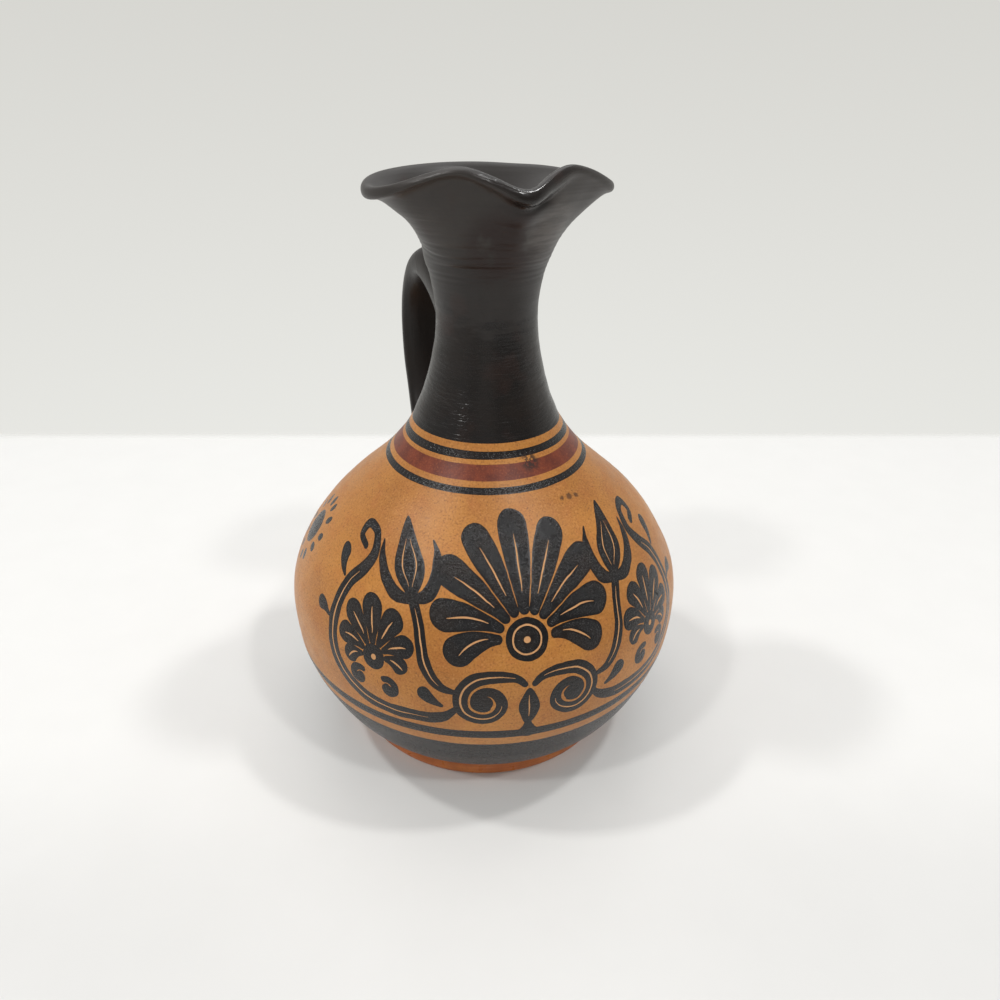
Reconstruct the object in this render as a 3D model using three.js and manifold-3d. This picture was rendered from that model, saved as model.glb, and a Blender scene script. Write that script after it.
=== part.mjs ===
// Wheel-thrown oinochoe (wine jug) with a pinched three-lobed mouth and a strap handle.
// Frame: millimetres, +Z up, origin on the wheel axis at the resting face of the foot,
// -Y towards the pouring lobe, +Y towards the handle.
import * as THREE from 'three';
import { mergeVertices } from 'three/addons/utils/BufferGeometryUtils.js';
import Module from 'manifold-3d';

// ---- driving dimensions (mm) ----
const SEG = 64;              // facets round the wheel axis
const WALL = 3.0;            // thrown wall of the bulb and neck
const FLOOR_Z = 5.0;         // joint plane between foot ring and bulb
const FLOOR_T = 3.5;         // thickness of the bulb's floor
const SHOULDER_Z = 89.5;     // joint plane between bulb and neck
const COLLAR_Z = 128.5;      // joint plane between neck and mouth
const GAP = 0.3;             // clearance left where the handle meets the pot
const LIP_WALL = 2.5;        // wall of the mouth below the lip
const FOOT_R_REST = 38.5;    // outside of the foot where it rests
const FOOT_R_TOP = 38.3;     // outside of the foot under the bulb
const FOOT_R_IN = 33.4;      // inside of the foot ring

// outer profile of the bulb, [radius, height]
const BULB = [
  [38.6, 5.0], [41.3, 7.3], [43.5, 9.6], [45.5, 12.2], [47.4, 15.4], [49.2, 19.2], [51.1, 24.0],
  [52.75, 29.2], [53.6, 35.0], [53.7, 41.0], [52.7, 47.5], [50.1, 53.6], [46.5, 59.4], [42.2, 64.8],
  [37.2, 69.9], [32.1, 74.3], [27.4, 78.6], [23.75, 82.6], [21.0, 86.2], [19.0, 89.5],
];
// outer profile of the neck, [radius, height]
const NECK = [
  [19.0, 89.5], [17.6, 92.7], [16.25, 95.9], [15.05, 99.8], [13.98, 103.8], [13.15, 107.8],
  [12.6, 111.6], [12.4, 115.6], [12.62, 119.8], [13.2, 123.6], [13.9, 126.4], [14.65, 128.5],
];
// crest of the lip against the angle from the pouring lobe, positive towards +X: [degrees, radius, height]
const CREST = [
  [-180, 25.7, 147.2], [-162, 25.5, 147.0], [-144, 26.0, 146.6], [-126, 26.9, 146.0], [-108, 27.8, 145.2],
  [-90, 28.4, 144.3], [-72, 26.4, 145.7], [-54, 23.4, 148.3], [-36, 21.4, 149.9], [-18, 21.2, 148.0],
  [0, 23.2, 145.4], [18, 21.0, 148.2], [36, 20.8, 149.9], [54, 23.9, 148.5], [72, 28.7, 145.3],
  [90, 29.6, 144.9], [108, 28.3, 146.0], [126, 27.0, 146.7], [144, 25.9, 146.9], [162, 25.6, 147.2],
];
// wall of the mouth: [degrees, its slope above horizontal at the lip, how far down it keeps that in mm, how far up from the
// collar it keeps its first line in mm, that line's lean outwards from vertical in degrees]
const FLARE = [
  [-180, 41, 8.2, 4.8, 23.5], [-144, 37, 8.8, 5.2, 16], [-108, 21.5, 10.3, 7.1, 7], [-90, 18, 9.2, 8.6, 9.5],
  [-72, 39, 6.4, 7.3, 18.5], [-54, 62, 6.7, 6.0, 25], [-36, 75, 7.5, 5.6, 25.5], [-18, 59, 6.7, 5.9, 24],
  [0, 41, 6.3, 6.1, 25.5], [18, 58.5, 6.8, 5.9, 26.5], [36, 72, 7.2, 5.6, 24.5], [54, 53, 7.9, 6.1, 19.5],
  [72, 29, 8.5, 6.6, 17.5], [90, 33, 8.1, 6.4, 23.5], [108, 33, 8.3, 5.6, 28], [144, 36, 8.5, 4.8, 26],
];
// roll of the lip: [degrees, how far it reaches down the outside in mm, how far it stands out in mm]
const ROLL = [
  [-180, 2.0, 0.45], [-144, 2.0, 0.45], [-108, 2.1, 0.50], [-90, 1.8, 0.50], [-72, 1.4, 0.50], [-54, 0.9, 0.45],
  [-36, 1.0, 0.45], [-18, 1.45, 0.55], [0, 2.0, 0.70], [12, 3.1, 0.75], [21, 3.4, 0.70], [31, 2.2, 0.45], [42, 1.5, 0.30],
  [54, 1.5, 0.30], [72, 1.7, 0.30], [108, 2.0, 0.40], [144, 2.0, 0.45],
];

// strap handle: centre line [y, z], width and thickness along it
const STRAP = [
  [4.0, 103.5], [10.4, 111.5], [19.4, 120.5], [28.2, 122.6], [35.5, 117.4], [39.4, 107.0],
  [38.3, 94.6], [34.4, 84.6], [29.0, 77.0], [24.0, 71.0],
];
const STRAP_W = [15.5, 16.7, 19.0, 20.8, 21.2, 21.3, 21.5, 22.0, 23.4, 23.8];
const STRAP_T = [15.0, 15.2, 13.8, 10.6, 8.0, 6.9, 6.4, 7.2, 8.4, 8.8];
const STRAP_SIDES = 16;
const STRAP_STEPS = 30;

// ---- helpers ----
const clamp = (v, a, b) => Math.min(b, Math.max(a, v));
const lerp = (a, b, t) => a + (b - a) * t;

function table(rows, col) {            // smooth interpolation of a table that closes on itself after 360 degrees
  const n = rows.length;
  const at = (k) => [rows[(k + n) % n][0] + 360 * Math.floor(k / n), rows[(k + n) % n][col]];
  return (deg) => {
    let x = deg;
    while (x < rows[0][0]) x += 360;
    while (x >= rows[0][0] + 360) x -= 360;
    let i = 0;
    while (i < n - 1 && rows[i + 1][0] <= x) i++;
    const [x0, y0] = at(i - 1), [x1, y1] = at(i), [x2, y2] = at(i + 1), [x3, y3] = at(i + 2);
    const h = x2 - x1, t = (x - x1) / h;
    const m1 = (y2 - y0) / (x2 - x0) * h, m2 = (y3 - y1) / (x3 - x1) * h;
    const t2 = t * t, t3 = t2 * t;
    return (2 * t3 - 3 * t2 + 1) * y1 + (t3 - 2 * t2 + t) * m1 + (3 * t2 - 2 * t3) * y2 + (t3 - t2) * m2;
  };
}

// closed solid from any three.js geometry: merged vertices, collapsed triangles dropped
function solid(geometry) {
  geometry.deleteAttribute('normal');
  geometry.deleteAttribute('uv');
  const pos = geometry.attributes.position;
  for (let i = 0; i < pos.count; i++) {
    pos.setXYZ(i, ...[pos.getX(i), pos.getY(i), pos.getZ(i)].map((v) => Math.round(v * 1e4) / 1e4 + 0));
  }
  const merged = mergeVertices(geometry, 1e-5);
  const idx = merged.index.array, keep = [];
  for (let i = 0; i < idx.length; i += 3) {
    const [a, b, c] = [idx[i], idx[i + 1], idx[i + 2]];
    if (a !== b && b !== c && c !== a) keep.push(a, b, c);
  }
  merged.setIndex(keep);
  return merged;
}

// turned body about +Z; warp(point, phiDegrees, profileIndex) may move each vertex
function turned(profile, warp) {
  const g = new THREE.LatheGeometry(profile.map(([r, z]) => new THREE.Vector2(r, z)), SEG);
  g.rotateX(Math.PI / 2);
  if (warp) {
    const n = profile.length, pos = g.attributes.position, v = new THREE.Vector3();
    for (let i = 0; i < pos.count; i++) {
      let phi = (Math.floor(i / n) % SEG) * 360 / SEG;
      if (phi > 180) phi -= 360;
      v.fromBufferAttribute(pos, i);
      warp(v, phi, i % n);
      pos.setXYZ(i, v.x, v.y, v.z);
    }
  }
  return solid(g);
}

// the same profile pushed inwards along its normal
function inset(profile, d) {
  return profile.map(([r, z], i) => {
    const [r0, z0] = profile[Math.max(0, i - 1)], [r1, z1] = profile[Math.min(profile.length - 1, i + 1)];
    const L = Math.hypot(r1 - r0, z1 - z0);
    return [r - d * (z1 - z0) / L, z + d * (r1 - r0) / L];
  });
}

// ---- foot: turned ring, glazed ----
const foot = turned([
  [FOOT_R_IN + 0.5, 0], [FOOT_R_REST - 0.5, 0], [FOOT_R_REST, 0.45], [FOOT_R_REST - 0.1, 3.0], [FOOT_R_TOP, FLOOR_Z],
  [FOOT_R_IN, FLOOR_Z], [FOOT_R_IN, 0.5], [FOOT_R_IN + 0.5, 0],
]);

// ---- bulb: hollow, closed below, open into the neck ----
const bulbIn = inset(BULB, WALL).filter(([r, z]) => z > FLOOR_Z + FLOOR_T + 2.5 && z < SHOULDER_Z - 2);
const body = turned([
  [0, FLOOR_Z], ...BULB,
  [BULB.at(-1)[0] - WALL * 1.05, SHOULDER_Z],
  ...bulbIn.reverse().filter((_, i) => i % 2 === 0 || i < 4),
  [37.5, FLOOR_Z + FLOOR_T + 0.9], [33.0, FLOOR_Z + FLOOR_T], [0, FLOOR_Z + FLOOR_T],
]);

// ---- neck: open tube ----
const neckIn = inset(NECK, WALL).slice(1, -1).reverse();
const neck = turned([
  ...NECK,
  [NECK.at(-1)[0] - WALL * 1.03, COLLAR_Z],
  ...neckIn,
  [NECK[0][0] - WALL * 1.05, SHOULDER_Z], NECK[0],
]);

// ---- mouth: flared wall pinched into three lobes, rolled lip ----
const crestR = table(CREST, 1), crestZ = table(CREST, 2);
const slopeAt = table(FLARE, 1), reachAt = table(FLARE, 2), riseAt = table(FLARE, 3), leanAt = table(FLARE, 4);
const COLLAR_MID = NECK.at(-1)[0] - WALL * 0.515;
const rollReach = table(ROLL, 1), rollOut = table(ROLL, 2);
// rows of the wall: [distance along it 0..1 from the collar, outside 'o' or inside 'i'], and the lip's own rows:
// [1, distance below the crest as mm and share of the roll's reach, offset from the wall's middle as mm and share of the roll]
const LIP = [
  [0.0, 'o'], [0.17, 'o'], [0.34, 'o'], [0.5, 'o'], [0.64, 'o'],
  [1, 0.3, 1.25, 1.25, 0.05], [1, 0.15, 0.8, 1.2, 0.8], [1, 0.1, 0.4, 1.1, 0.9], [1, 0.1, 0, 0.6, 0], [1, 0.1, 0, -0.3, 0],
  [1, 0.7, 0, -1.05, 0], [1, 1.9, 0, -1.25, 0], [0.8, 'i'], [0.6, 'i'], [0.4, 'i'], [0.2, 'i'], [0.0, 'i'],
];
function wallMid(phi, t) {             // middle of the mouth's wall: point and unit tangent in the meridian plane
  const s = THREE.MathUtils.degToRad(slopeAt(phi)), reach = reachAt(phi);
  const lean = THREE.MathUtils.degToRad(leanAt(phi)), rise = riseAt(phi);
  const p0 = [COLLAR_MID, COLLAR_Z], p3 = [crestR(phi), crestZ(phi)];
  const p1 = [p0[0] + rise * Math.sin(lean), p0[1] + rise * Math.cos(lean)];
  const p2 = [p3[0] - reach * Math.cos(s), p3[1] - reach * Math.sin(s)];
  const u = 1 - t, b = [u * u * u, 3 * u * u * t, 3 * u * t * t, t * t * t];
  const d = [3 * u * u, 6 * u * t, 3 * t * t];
  const q = [0, 1].map((k) => b[0] * p0[k] + b[1] * p1[k] + b[2] * p2[k] + b[3] * p3[k]);
  const e = [0, 1].map((k) => d[0] * (p1[k] - p0[k]) + d[1] * (p2[k] - p1[k]) + d[2] * (p3[k] - p2[k]));
  const L = Math.hypot(e[0], e[1]);
  return [q, [e[0] / L, e[1] / L]];
}
function mouthPoint(phi, row) {
  const t = row[0];
  const [[r, z], [tr, tz]] = wallMid(phi, t);
  const half = lerp(WALL * 0.515, LIP_WALL / 2, clamp(t * 1.6, 0, 1));
  const o = row[1] === 'o' ? half : row[1] === 'i' ? -half : row[3] + row[4] * rollOut(phi);
  const below = row.length > 2 ? row[1] + row[2] * rollReach(phi) : 0;
  if (t === 0) return [r + o, COLLAR_Z];
  return [r + o * tz - below * tr, z - o * tr - below * tz];
}
const mouthProfile = LIP.map((row) => mouthPoint(90, row));
mouthProfile.push(mouthProfile[0]);
const mouth = turned(mouthProfile, (v, phi, k) => {
  const [r, z] = mouthPoint(phi, LIP[k % LIP.length]);
  const a = THREE.MathUtils.degToRad(phi);
  v.set(r * Math.sin(a), -r * Math.cos(a), z);
});

// ---- handle: strap swept in the YZ plane, its ends cut to the pot ----
function along(values, u) {            // smooth interpolation of evenly listed values
  const n = values.length - 1, x = clamp(u, 0, 1) * n, i = Math.min(n - 1, Math.floor(x)), t = x - i;
  const a = values[Math.max(0, i - 1)], b = values[i], c = values[i + 1], d = values[Math.min(n, i + 2)];
  return 0.5 * (2 * b + (c - a) * t + (2 * a - 5 * b + 4 * c - d) * t * t + (3 * b - a - 3 * c + d) * t * t * t);
}
const strapLine = new THREE.CatmullRomCurve3(STRAP.map(([y, z]) => new THREE.Vector3(0, y, z)), false, 'centripetal');
const strapBlank = new THREE.CylinderGeometry(1, 1, 1, STRAP_SIDES, STRAP_STEPS);
{
  const pos = strapBlank.attributes.position;
  for (let i = 0; i < pos.count; i++) {
    const x = pos.getX(i), z = pos.getZ(i), u = 0.5 - pos.getY(i);
    const c = strapLine.getPoint(clamp(u, 0, 1)), t = strapLine.getTangent(clamp(u, 0, 1));
    const e = 2 / 2.5, sx = Math.sign(x) * Math.abs(x) ** e, sz = Math.sign(z) * Math.abs(z) ** e;
    const w = -along(STRAP_W, u) / 2 * sx, h = along(STRAP_T, u) / 2 * sz;
    pos.setXYZ(i, w, c.y - h * t.z, c.z + h * t.y);
  }
}
const potShape = (() => {              // outside of bulb and neck grown by the clearance, solid to the axis
  const out = inset([...BULB, ...NECK.slice(1)], -GAP);
  return turned([[0, out[0][1]], ...out, [0, out.at(-1)[1]]]);
})();

const wasm = await Module();
wasm.setup();
const toManifold = (g) => new wasm.Manifold(new wasm.Mesh({
  numProp: 3, vertProperties: new Float32Array(g.attributes.position.array), triVerts: new Uint32Array(g.index.array),
}));
function fromManifold(m) {
  const { vertProperties, triVerts } = m.getMesh();
  const g = new THREE.BufferGeometry();
  g.setAttribute('position', new THREE.BufferAttribute(new Float32Array(vertProperties), 3));
  g.setIndex(Array.from(triVerts));
  return g;
}
let strap = solid(strapBlank);
const pieces = toManifold(strap).subtract(toManifold(potShape)).decompose();
const handle = fromManifold(pieces.reduce((a, b) => (a.volume() > b.volume() ? a : b)));

// ---- assembly ----
const clay = new THREE.MeshStandardMaterial({ color: 0xb47846, roughness: 0.6, metalness: 0 });
const slip = () => new THREE.MeshStandardMaterial({ color: 0x262120, roughness: 0.42, metalness: 0 });
const glaze = new THREE.MeshStandardMaterial({ color: 0x8a4a2c, roughness: 0.3, metalness: 0 });

const pot = new THREE.Group();
for (const [name, geometry, material] of [
  ['foot', foot, glaze], ['body', body, clay], ['neck', neck, slip()], ['mouth', mouth, slip()], ['handle', handle, slip()],
]) {
  const mesh = new THREE.Mesh(geometry, material);
  mesh.name = name;
  pot.add(mesh);
}

export default pot;
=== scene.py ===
# Looks of the pottery wine jug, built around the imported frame. Metres, +Z up, origin on the wheel axis at the foot's
# resting face, -Y towards the pouring lobe. Shapes are worked out in millimetres and written in metres.
import bpy, math
import numpy as np
from mathutils import Matrix, Vector, geometry, kdtree


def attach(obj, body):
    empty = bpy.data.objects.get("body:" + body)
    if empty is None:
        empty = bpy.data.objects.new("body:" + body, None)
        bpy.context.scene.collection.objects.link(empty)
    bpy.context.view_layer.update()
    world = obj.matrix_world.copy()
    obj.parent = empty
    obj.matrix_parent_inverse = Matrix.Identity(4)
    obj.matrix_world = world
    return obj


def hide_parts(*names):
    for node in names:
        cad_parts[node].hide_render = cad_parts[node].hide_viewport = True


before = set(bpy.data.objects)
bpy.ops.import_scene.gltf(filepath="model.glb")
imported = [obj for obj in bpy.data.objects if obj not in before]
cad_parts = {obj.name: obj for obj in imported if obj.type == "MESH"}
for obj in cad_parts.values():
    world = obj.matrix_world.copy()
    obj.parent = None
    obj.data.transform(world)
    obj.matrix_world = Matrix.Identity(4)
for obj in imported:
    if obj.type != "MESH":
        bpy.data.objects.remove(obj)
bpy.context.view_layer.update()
PI = math.pi
MM = 0.001

# ------------------------------------------------------------------ camera
# The photograph's camera, found from the turned circles of the pot.
PHOTO_AZ = math.radians(21.3)          # the jug is turned this far from the camera's own axes
CAM_TILT, CAM_PAN, CAM_ROLL = map(math.radians, (28.542804549552507, 1.2681724655521958, 1.002806865455949))
CAM_LENS_PX = 750.5163213257744        # for an image 1000 wide
cam_at = Vector((0.0, -0.182, 0.16299924))


def turn(v):                           # from the camera's axes to the jug's
    c, s = math.cos(PHOTO_AZ), math.sin(PHOTO_AZ)
    return Vector((v[0] * c + v[1] * s, -v[0] * s + v[1] * c, v[2]))


fwd = Vector((math.sin(CAM_PAN) * math.cos(CAM_TILT), math.cos(CAM_PAN) * math.cos(CAM_TILT), -math.sin(CAM_TILT)))
rgt = Vector((math.cos(CAM_PAN), -math.sin(CAM_PAN), 0.0))
upw = rgt.cross(fwd)
rgt, upw = (rgt * math.cos(CAM_ROLL) + upw * math.sin(CAM_ROLL), upw * math.cos(CAM_ROLL) - rgt * math.sin(CAM_ROLL))
cam_at, fwd, rgt, upw = turn(cam_at), turn(fwd), turn(rgt), turn(upw)
cam_data = bpy.data.cameras.new("camera")
cam_data.sensor_width = 36.0
cam_data.sensor_fit = "HORIZONTAL"
cam_data.lens = CAM_LENS_PX * 36.0 / 1000.0
cam_data.clip_start, cam_data.clip_end = 0.005, 20.0
cam = bpy.data.objects.new("camera", cam_data)
bpy.context.scene.collection.objects.link(cam)
cam.matrix_world = Matrix((
    (rgt.x, upw.x, -fwd.x, cam_at.x), (rgt.y, upw.y, -fwd.y, cam_at.y), (rgt.z, upw.z, -fwd.z, cam_at.z), (0, 0, 0, 1)))
bpy.context.scene.camera = cam


def on_floor(px, py):                  # where a point of the 1000 x 1000 image meets the floor
    d = fwd + rgt * ((px - 500.0) / CAM_LENS_PX) + upw * ((500.0 - py) / CAM_LENS_PX)
    return cam_at + d * (-cam_at.z / d.z)


# ------------------------------------------------------------------ numbers
def spline(P, step, knots=None):
    """Natural cubic spline through P (n, ...), sampled about every step."""
    P = np.asarray(P, float)
    shape = P.shape[1:]
    Q = P.reshape(len(P), -1)
    if knots is None:
        knots = np.r_[0, np.cumsum(np.linalg.norm(np.diff(Q, axis=0), axis=1))]
    n = len(knots)
    h = np.diff(knots)
    A, B = np.zeros((n, n)), np.zeros_like(Q)
    A[0, 0] = A[-1, -1] = 1
    for i in range(1, n - 1):
        A[i, i - 1], A[i, i], A[i, i + 1] = h[i - 1], 2 * (h[i - 1] + h[i]), h[i]
        B[i] = 3 * ((Q[i + 1] - Q[i]) / h[i] - (Q[i] - Q[i - 1]) / h[i - 1])
    C = np.linalg.solve(A, B)
    t = []
    for i in range(n - 1):
        k = max(1, int(math.ceil(h[i] / step - 1e-6)))
        t += list(knots[i] + h[i] * np.arange(k) / k)
    t = np.array(t + [knots[-1]])
    i = np.clip(np.searchsorted(knots, t, "right") - 1, 0, n - 2)
    u, hh = (t - knots[i])[:, None], h[i][:, None]
    b = (Q[i + 1] - Q[i]) / hh - hh * (2 * C[i] + C[i + 1]) / 3
    out = Q[i] + b * u + C[i] * u ** 2 + (C[i + 1] - C[i]) / (3 * hh) * u ** 3
    return out.reshape((len(t),) + shape), t


def lattice(ix, iy, iz, seed):
    m = 0xFFFFFFFF
    h = (ix * 374761393 + iy * 668265263 + iz * 1440662683 + seed * 974634777) & m
    h = ((h ^ (h >> 13)) * 1274126177) & m
    h = ((h ^ (h >> 16)) * 1103515245) & m
    return (h ^ (h >> 15)).astype(float) / m * 2 - 1


def noise(P, size, seed=0):
    """Smooth value noise in -1..1 with features of that size, at points P (n, 3)."""
    Q = np.asarray(P, float) / np.asarray(size, float)
    I = np.floor(Q).astype(np.int64)
    F = Q - I
    F = F ** 3 * (F * (F * 6 - 15) + 10)
    out = 0
    for dx in (0, 1):
        for dy in (0, 1):
            for dz in (0, 1):
                w = (F[:, 0] if dx else 1 - F[:, 0]) * (F[:, 1] if dy else 1 - F[:, 1]) * (F[:, 2] if dz else 1 - F[:, 2])
                out = out + w * lattice(I[:, 0] + dx, I[:, 1] + dy, I[:, 2] + dz, seed)
    return out


def sstep(a, b, x):
    t = np.clip((np.asarray(x, float) - a) / (b - a), 0, 1)
    return t * t * (3 - 2 * t)


def round_pos(phi, r, z):
    """(n, 3) points from the angle from the pouring lobe (towards +X), radius and height."""
    return np.stack([r * np.sin(phi), -r * np.cos(phi), np.broadcast_to(z, np.shape(phi)) + 0 * r], -1)


def ring_noise(phi, z, size, seed, radius=30.0):
    return noise(round_pos(phi, np.full(np.shape(phi), radius), np.asarray(z, float) + 0 * phi), size, seed)


# ------------------------------------------------------------------ the thrown shape (same numbers as the CAD part)
WALL, FLOOR_Z, FLOOR_T, SHOULDER_Z, COLLAR_Z, LIP_WALL = 3.0, 5.0, 3.5, 89.5, 128.5, 2.5
BULB = [
    [38.6, 5.0], [41.3, 7.3], [43.5, 9.6], [45.5, 12.2], [47.4, 15.4], [49.2, 19.2], [51.1, 24.0],
    [52.75, 29.2], [53.6, 35.0], [53.7, 41.0], [52.7, 47.5], [50.1, 53.6], [46.5, 59.4], [42.2, 64.8],
    [37.2, 69.9], [32.1, 74.3], [27.4, 78.6], [23.75, 82.6], [21.0, 86.2], [19.0, 89.5]]
NECK = [
    [19.0, 89.5], [17.6, 92.7], [16.25, 95.9], [15.05, 99.8], [13.98, 103.8], [13.15, 107.8],
    [12.6, 111.6], [12.4, 115.6], [12.62, 119.8], [13.2, 123.6], [13.9, 126.4], [14.65, 128.5]]
CREST = [
    [-180, 25.7, 147.2], [-162, 25.5, 147.0], [-144, 26.0, 146.6], [-126, 26.9, 146.0], [-108, 27.8, 145.2],
    [-90, 28.4, 144.3], [-72, 26.4, 145.7], [-54, 23.4, 148.3], [-36, 21.4, 149.9], [-18, 21.2, 148.0],
    [0, 23.2, 145.4], [18, 21.0, 148.2], [36, 20.8, 149.9], [54, 23.9, 148.5], [72, 28.7, 145.3],
    [90, 29.6, 144.9], [108, 28.3, 146.0], [126, 27.0, 146.7], [144, 25.9, 146.9], [162, 25.6, 147.2]]
FLARE = [
    [-180, 41, 8.2, 4.8, 23.5], [-144, 37, 8.8, 5.2, 16], [-108, 21.5, 10.3, 7.1, 7], [-90, 18, 9.2, 8.6, 9.5],
    [-72, 39, 6.4, 7.3, 18.5], [-54, 62, 6.7, 6.0, 25], [-36, 75, 7.5, 5.6, 25.5], [-18, 59, 6.7, 5.9, 24],
    [0, 41, 6.3, 6.1, 25.5], [18, 58.5, 6.8, 5.9, 26.5], [36, 72, 7.2, 5.6, 24.5], [54, 53, 7.9, 6.1, 19.5],
    [72, 29, 8.5, 6.6, 17.5], [90, 33, 8.1, 6.4, 23.5], [108, 33, 8.3, 5.6, 28], [144, 36, 8.5, 4.8, 26]]
ROLL = [                               # lip: degrees, how far its roll reaches down the outside, how far it stands out
    [-180, 2.0, 0.45], [-144, 2.0, 0.45], [-108, 2.1, 0.50], [-90, 1.8, 0.50], [-72, 1.4, 0.50], [-54, 0.9, 0.45],
    [-36, 1.0, 0.45], [-18, 1.45, 0.55], [0, 2.0, 0.70], [12, 3.1, 0.75], [21, 3.4, 0.70], [31, 2.2, 0.45], [42, 1.5, 0.30],
    [54, 1.5, 0.30], [72, 1.7, 0.30], [108, 2.0, 0.40], [144, 2.0, 0.45]]
STRAP = [
    [4.0, 103.5], [10.4, 111.5], [19.4, 120.5], [28.2, 122.6], [35.5, 117.4], [39.4, 107.0],
    [38.3, 94.6], [34.4, 84.6], [29.0, 77.0], [24.0, 71.0]]
STRAP_W = [15.5, 16.7, 19.0, 20.8, 21.2, 21.3, 21.5, 22.0, 23.4, 23.8]
STRAP_T = [15.0, 15.2, 13.8, 10.6, 8.0, 6.9, 6.4, 7.2, 8.4, 8.8]

MER, mer_t = spline(BULB + NECK[1:], 0.25)
i_shoulder = int(np.argmin(np.abs(MER[:, 1] - SHOULDER_Z)))
mer_s = np.r_[0, np.cumsum(np.linalg.norm(np.diff(MER, axis=0), axis=1))]
mer_tan = np.gradient(MER, mer_s, axis=0)
mer_tan /= np.linalg.norm(mer_tan, axis=1)[:, None]
S_TOP = mer_s[i_shoulder]
R_REF = 53.7


def mer(s):
    return np.interp(s, mer_s, MER[:, 0]), np.interp(s, mer_s, MER[:, 1])


def mer_normal(s):
    return np.interp(s, mer_s, mer_tan[:, 1]), -np.interp(s, mer_s, mer_tan[:, 0])


def s_at(z):
    return float(np.interp(z, MER[:, 1], mer_s))


def pot_distance(P):
    """Signed distance of points (n, 3) from the outside of bulb and neck, and the meridian index nearest."""
    r, z = np.hypot(P[:, 0], P[:, 1]), P[:, 2]
    M = MER[::2]
    d2 = (r[:, None] - M[None, :, 0]) ** 2 + (z[:, None] - M[None, :, 1]) ** 2
    k = np.argmin(d2, 1)
    T = mer_tan[::2][k]
    return (r - M[k, 0]) * T[:, 1] - (z - M[k, 1]) * T[:, 0], k * 2


def to_pot(P):
    """Points (n, 3) moved straight onto the outside of the pot, and the outward normals there."""
    d, k = pot_distance(P)
    r = np.maximum(np.hypot(P[:, 0], P[:, 1]), 1e-6)
    T = mer_tan[np.minimum(k, len(MER) - 1)]
    n = np.stack([P[:, 0] / r * T[:, 1], P[:, 1] / r * T[:, 1], -T[:, 0]], 1)
    return P - n * d[:, None], n


# ------------------------------------------------------------------ mesh writing
def link(o):
    bpy.context.scene.collection.objects.link(o)
    return o


def write_mesh(name, V, faces, mat, node, normals=None, corner=None, point=None, flat=(), own=None):
    """V in mm. normals: (n, 3) per vertex. flat: faces with their own normal. own: (faces, normals) that those faces use."""
    me = bpy.data.meshes.new(name)
    me.from_pydata((np.asarray(V) * MM).tolist(), [], [list(map(int, f)) for f in faces])
    me.polygons.foreach_set("use_smooth", [True] * len(me.polygons))
    if corner:
        for key, per_face in corner.items():
            a = me.color_attributes.new(key, "FLOAT_COLOR", "CORNER")
            n_corners = np.array([len(f) for f in faces])
            a.data.foreach_set("color", np.repeat(np.asarray(per_face, np.float32), n_corners, axis=0).ravel())
    if point:
        for key, val in point.items():
            a = me.attributes.new(key, "FLOAT", "POINT")
            a.data.foreach_set("value", np.asarray(val, np.float32))
    me.materials.append(mat)
    if normals is not None:
        flat = set(flat)
        own_faces, own_n = (set(own[0]), own[1]) if own else (set(), None)
        vi = np.empty(len(me.loops), np.int64)
        me.loops.foreach_get("vertex_index", vi)
        N = np.asarray(normals)[vi]
        start = 0
        VV = np.asarray(V)
        for k, f in enumerate(faces):
            if k in flat:
                a, b, c = VV[f[0]], VV[f[1]], VV[f[2]]
                m = np.cross(b - a, c - a)
                N[start:start + len(f)] = m / max(np.linalg.norm(m), 1e-12)
            elif k in own_faces:
                N[start:start + len(f)] = own_n[list(f)]
            start += len(f)
        me.normals_split_custom_set(N.tolist())
    me.validate()
    o = link(bpy.data.objects.new(name, me))
    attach(o, "root")
    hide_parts(node)
    return o


def tri_normals(V, T):
    """Angle-weighted vertex normals of triangles T."""
    n = np.cross(V[T[:, 1]] - V[T[:, 0]], V[T[:, 2]] - V[T[:, 0]])
    n /= np.maximum(np.linalg.norm(n, axis=1), 1e-12)[:, None]
    out = np.zeros_like(V)
    for k in range(3):
        a, b, c = V[T[:, k]], V[T[:, (k + 1) % 3]], V[T[:, (k + 2) % 3]]
        u, v = b - a, c - a
        cosang = np.einsum("ij,ij->i", u, v) / np.maximum(np.linalg.norm(u, axis=1) * np.linalg.norm(v, axis=1), 1e-12)
        np.add.at(out, T[:, k], n * np.arccos(np.clip(cosang, -1, 1))[:, None])
    return out / np.maximum(np.linalg.norm(out, axis=1), 1e-12)[:, None]


def grid_normals(G):
    """Normals of a grid (rows, cols, 3) closed round its columns; rows run up and columns run with the angle."""
    du = (np.roll(G, -1, 1) - np.roll(G, 1, 1))
    dv = np.gradient(G, axis=0)
    n = np.cross(du, dv)
    return n / np.maximum(np.linalg.norm(n, axis=2), 1e-12)[:, :, None]


def strip(a, b):
    """Quads between two closed rows of vertex numbers, outward where a is below b and both run with the angle."""
    a2, b2 = np.roll(a, -1), np.roll(b, -1)
    return [[a[i], a2[i], b2[i], b[i]] for i in range(len(a))]


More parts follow.
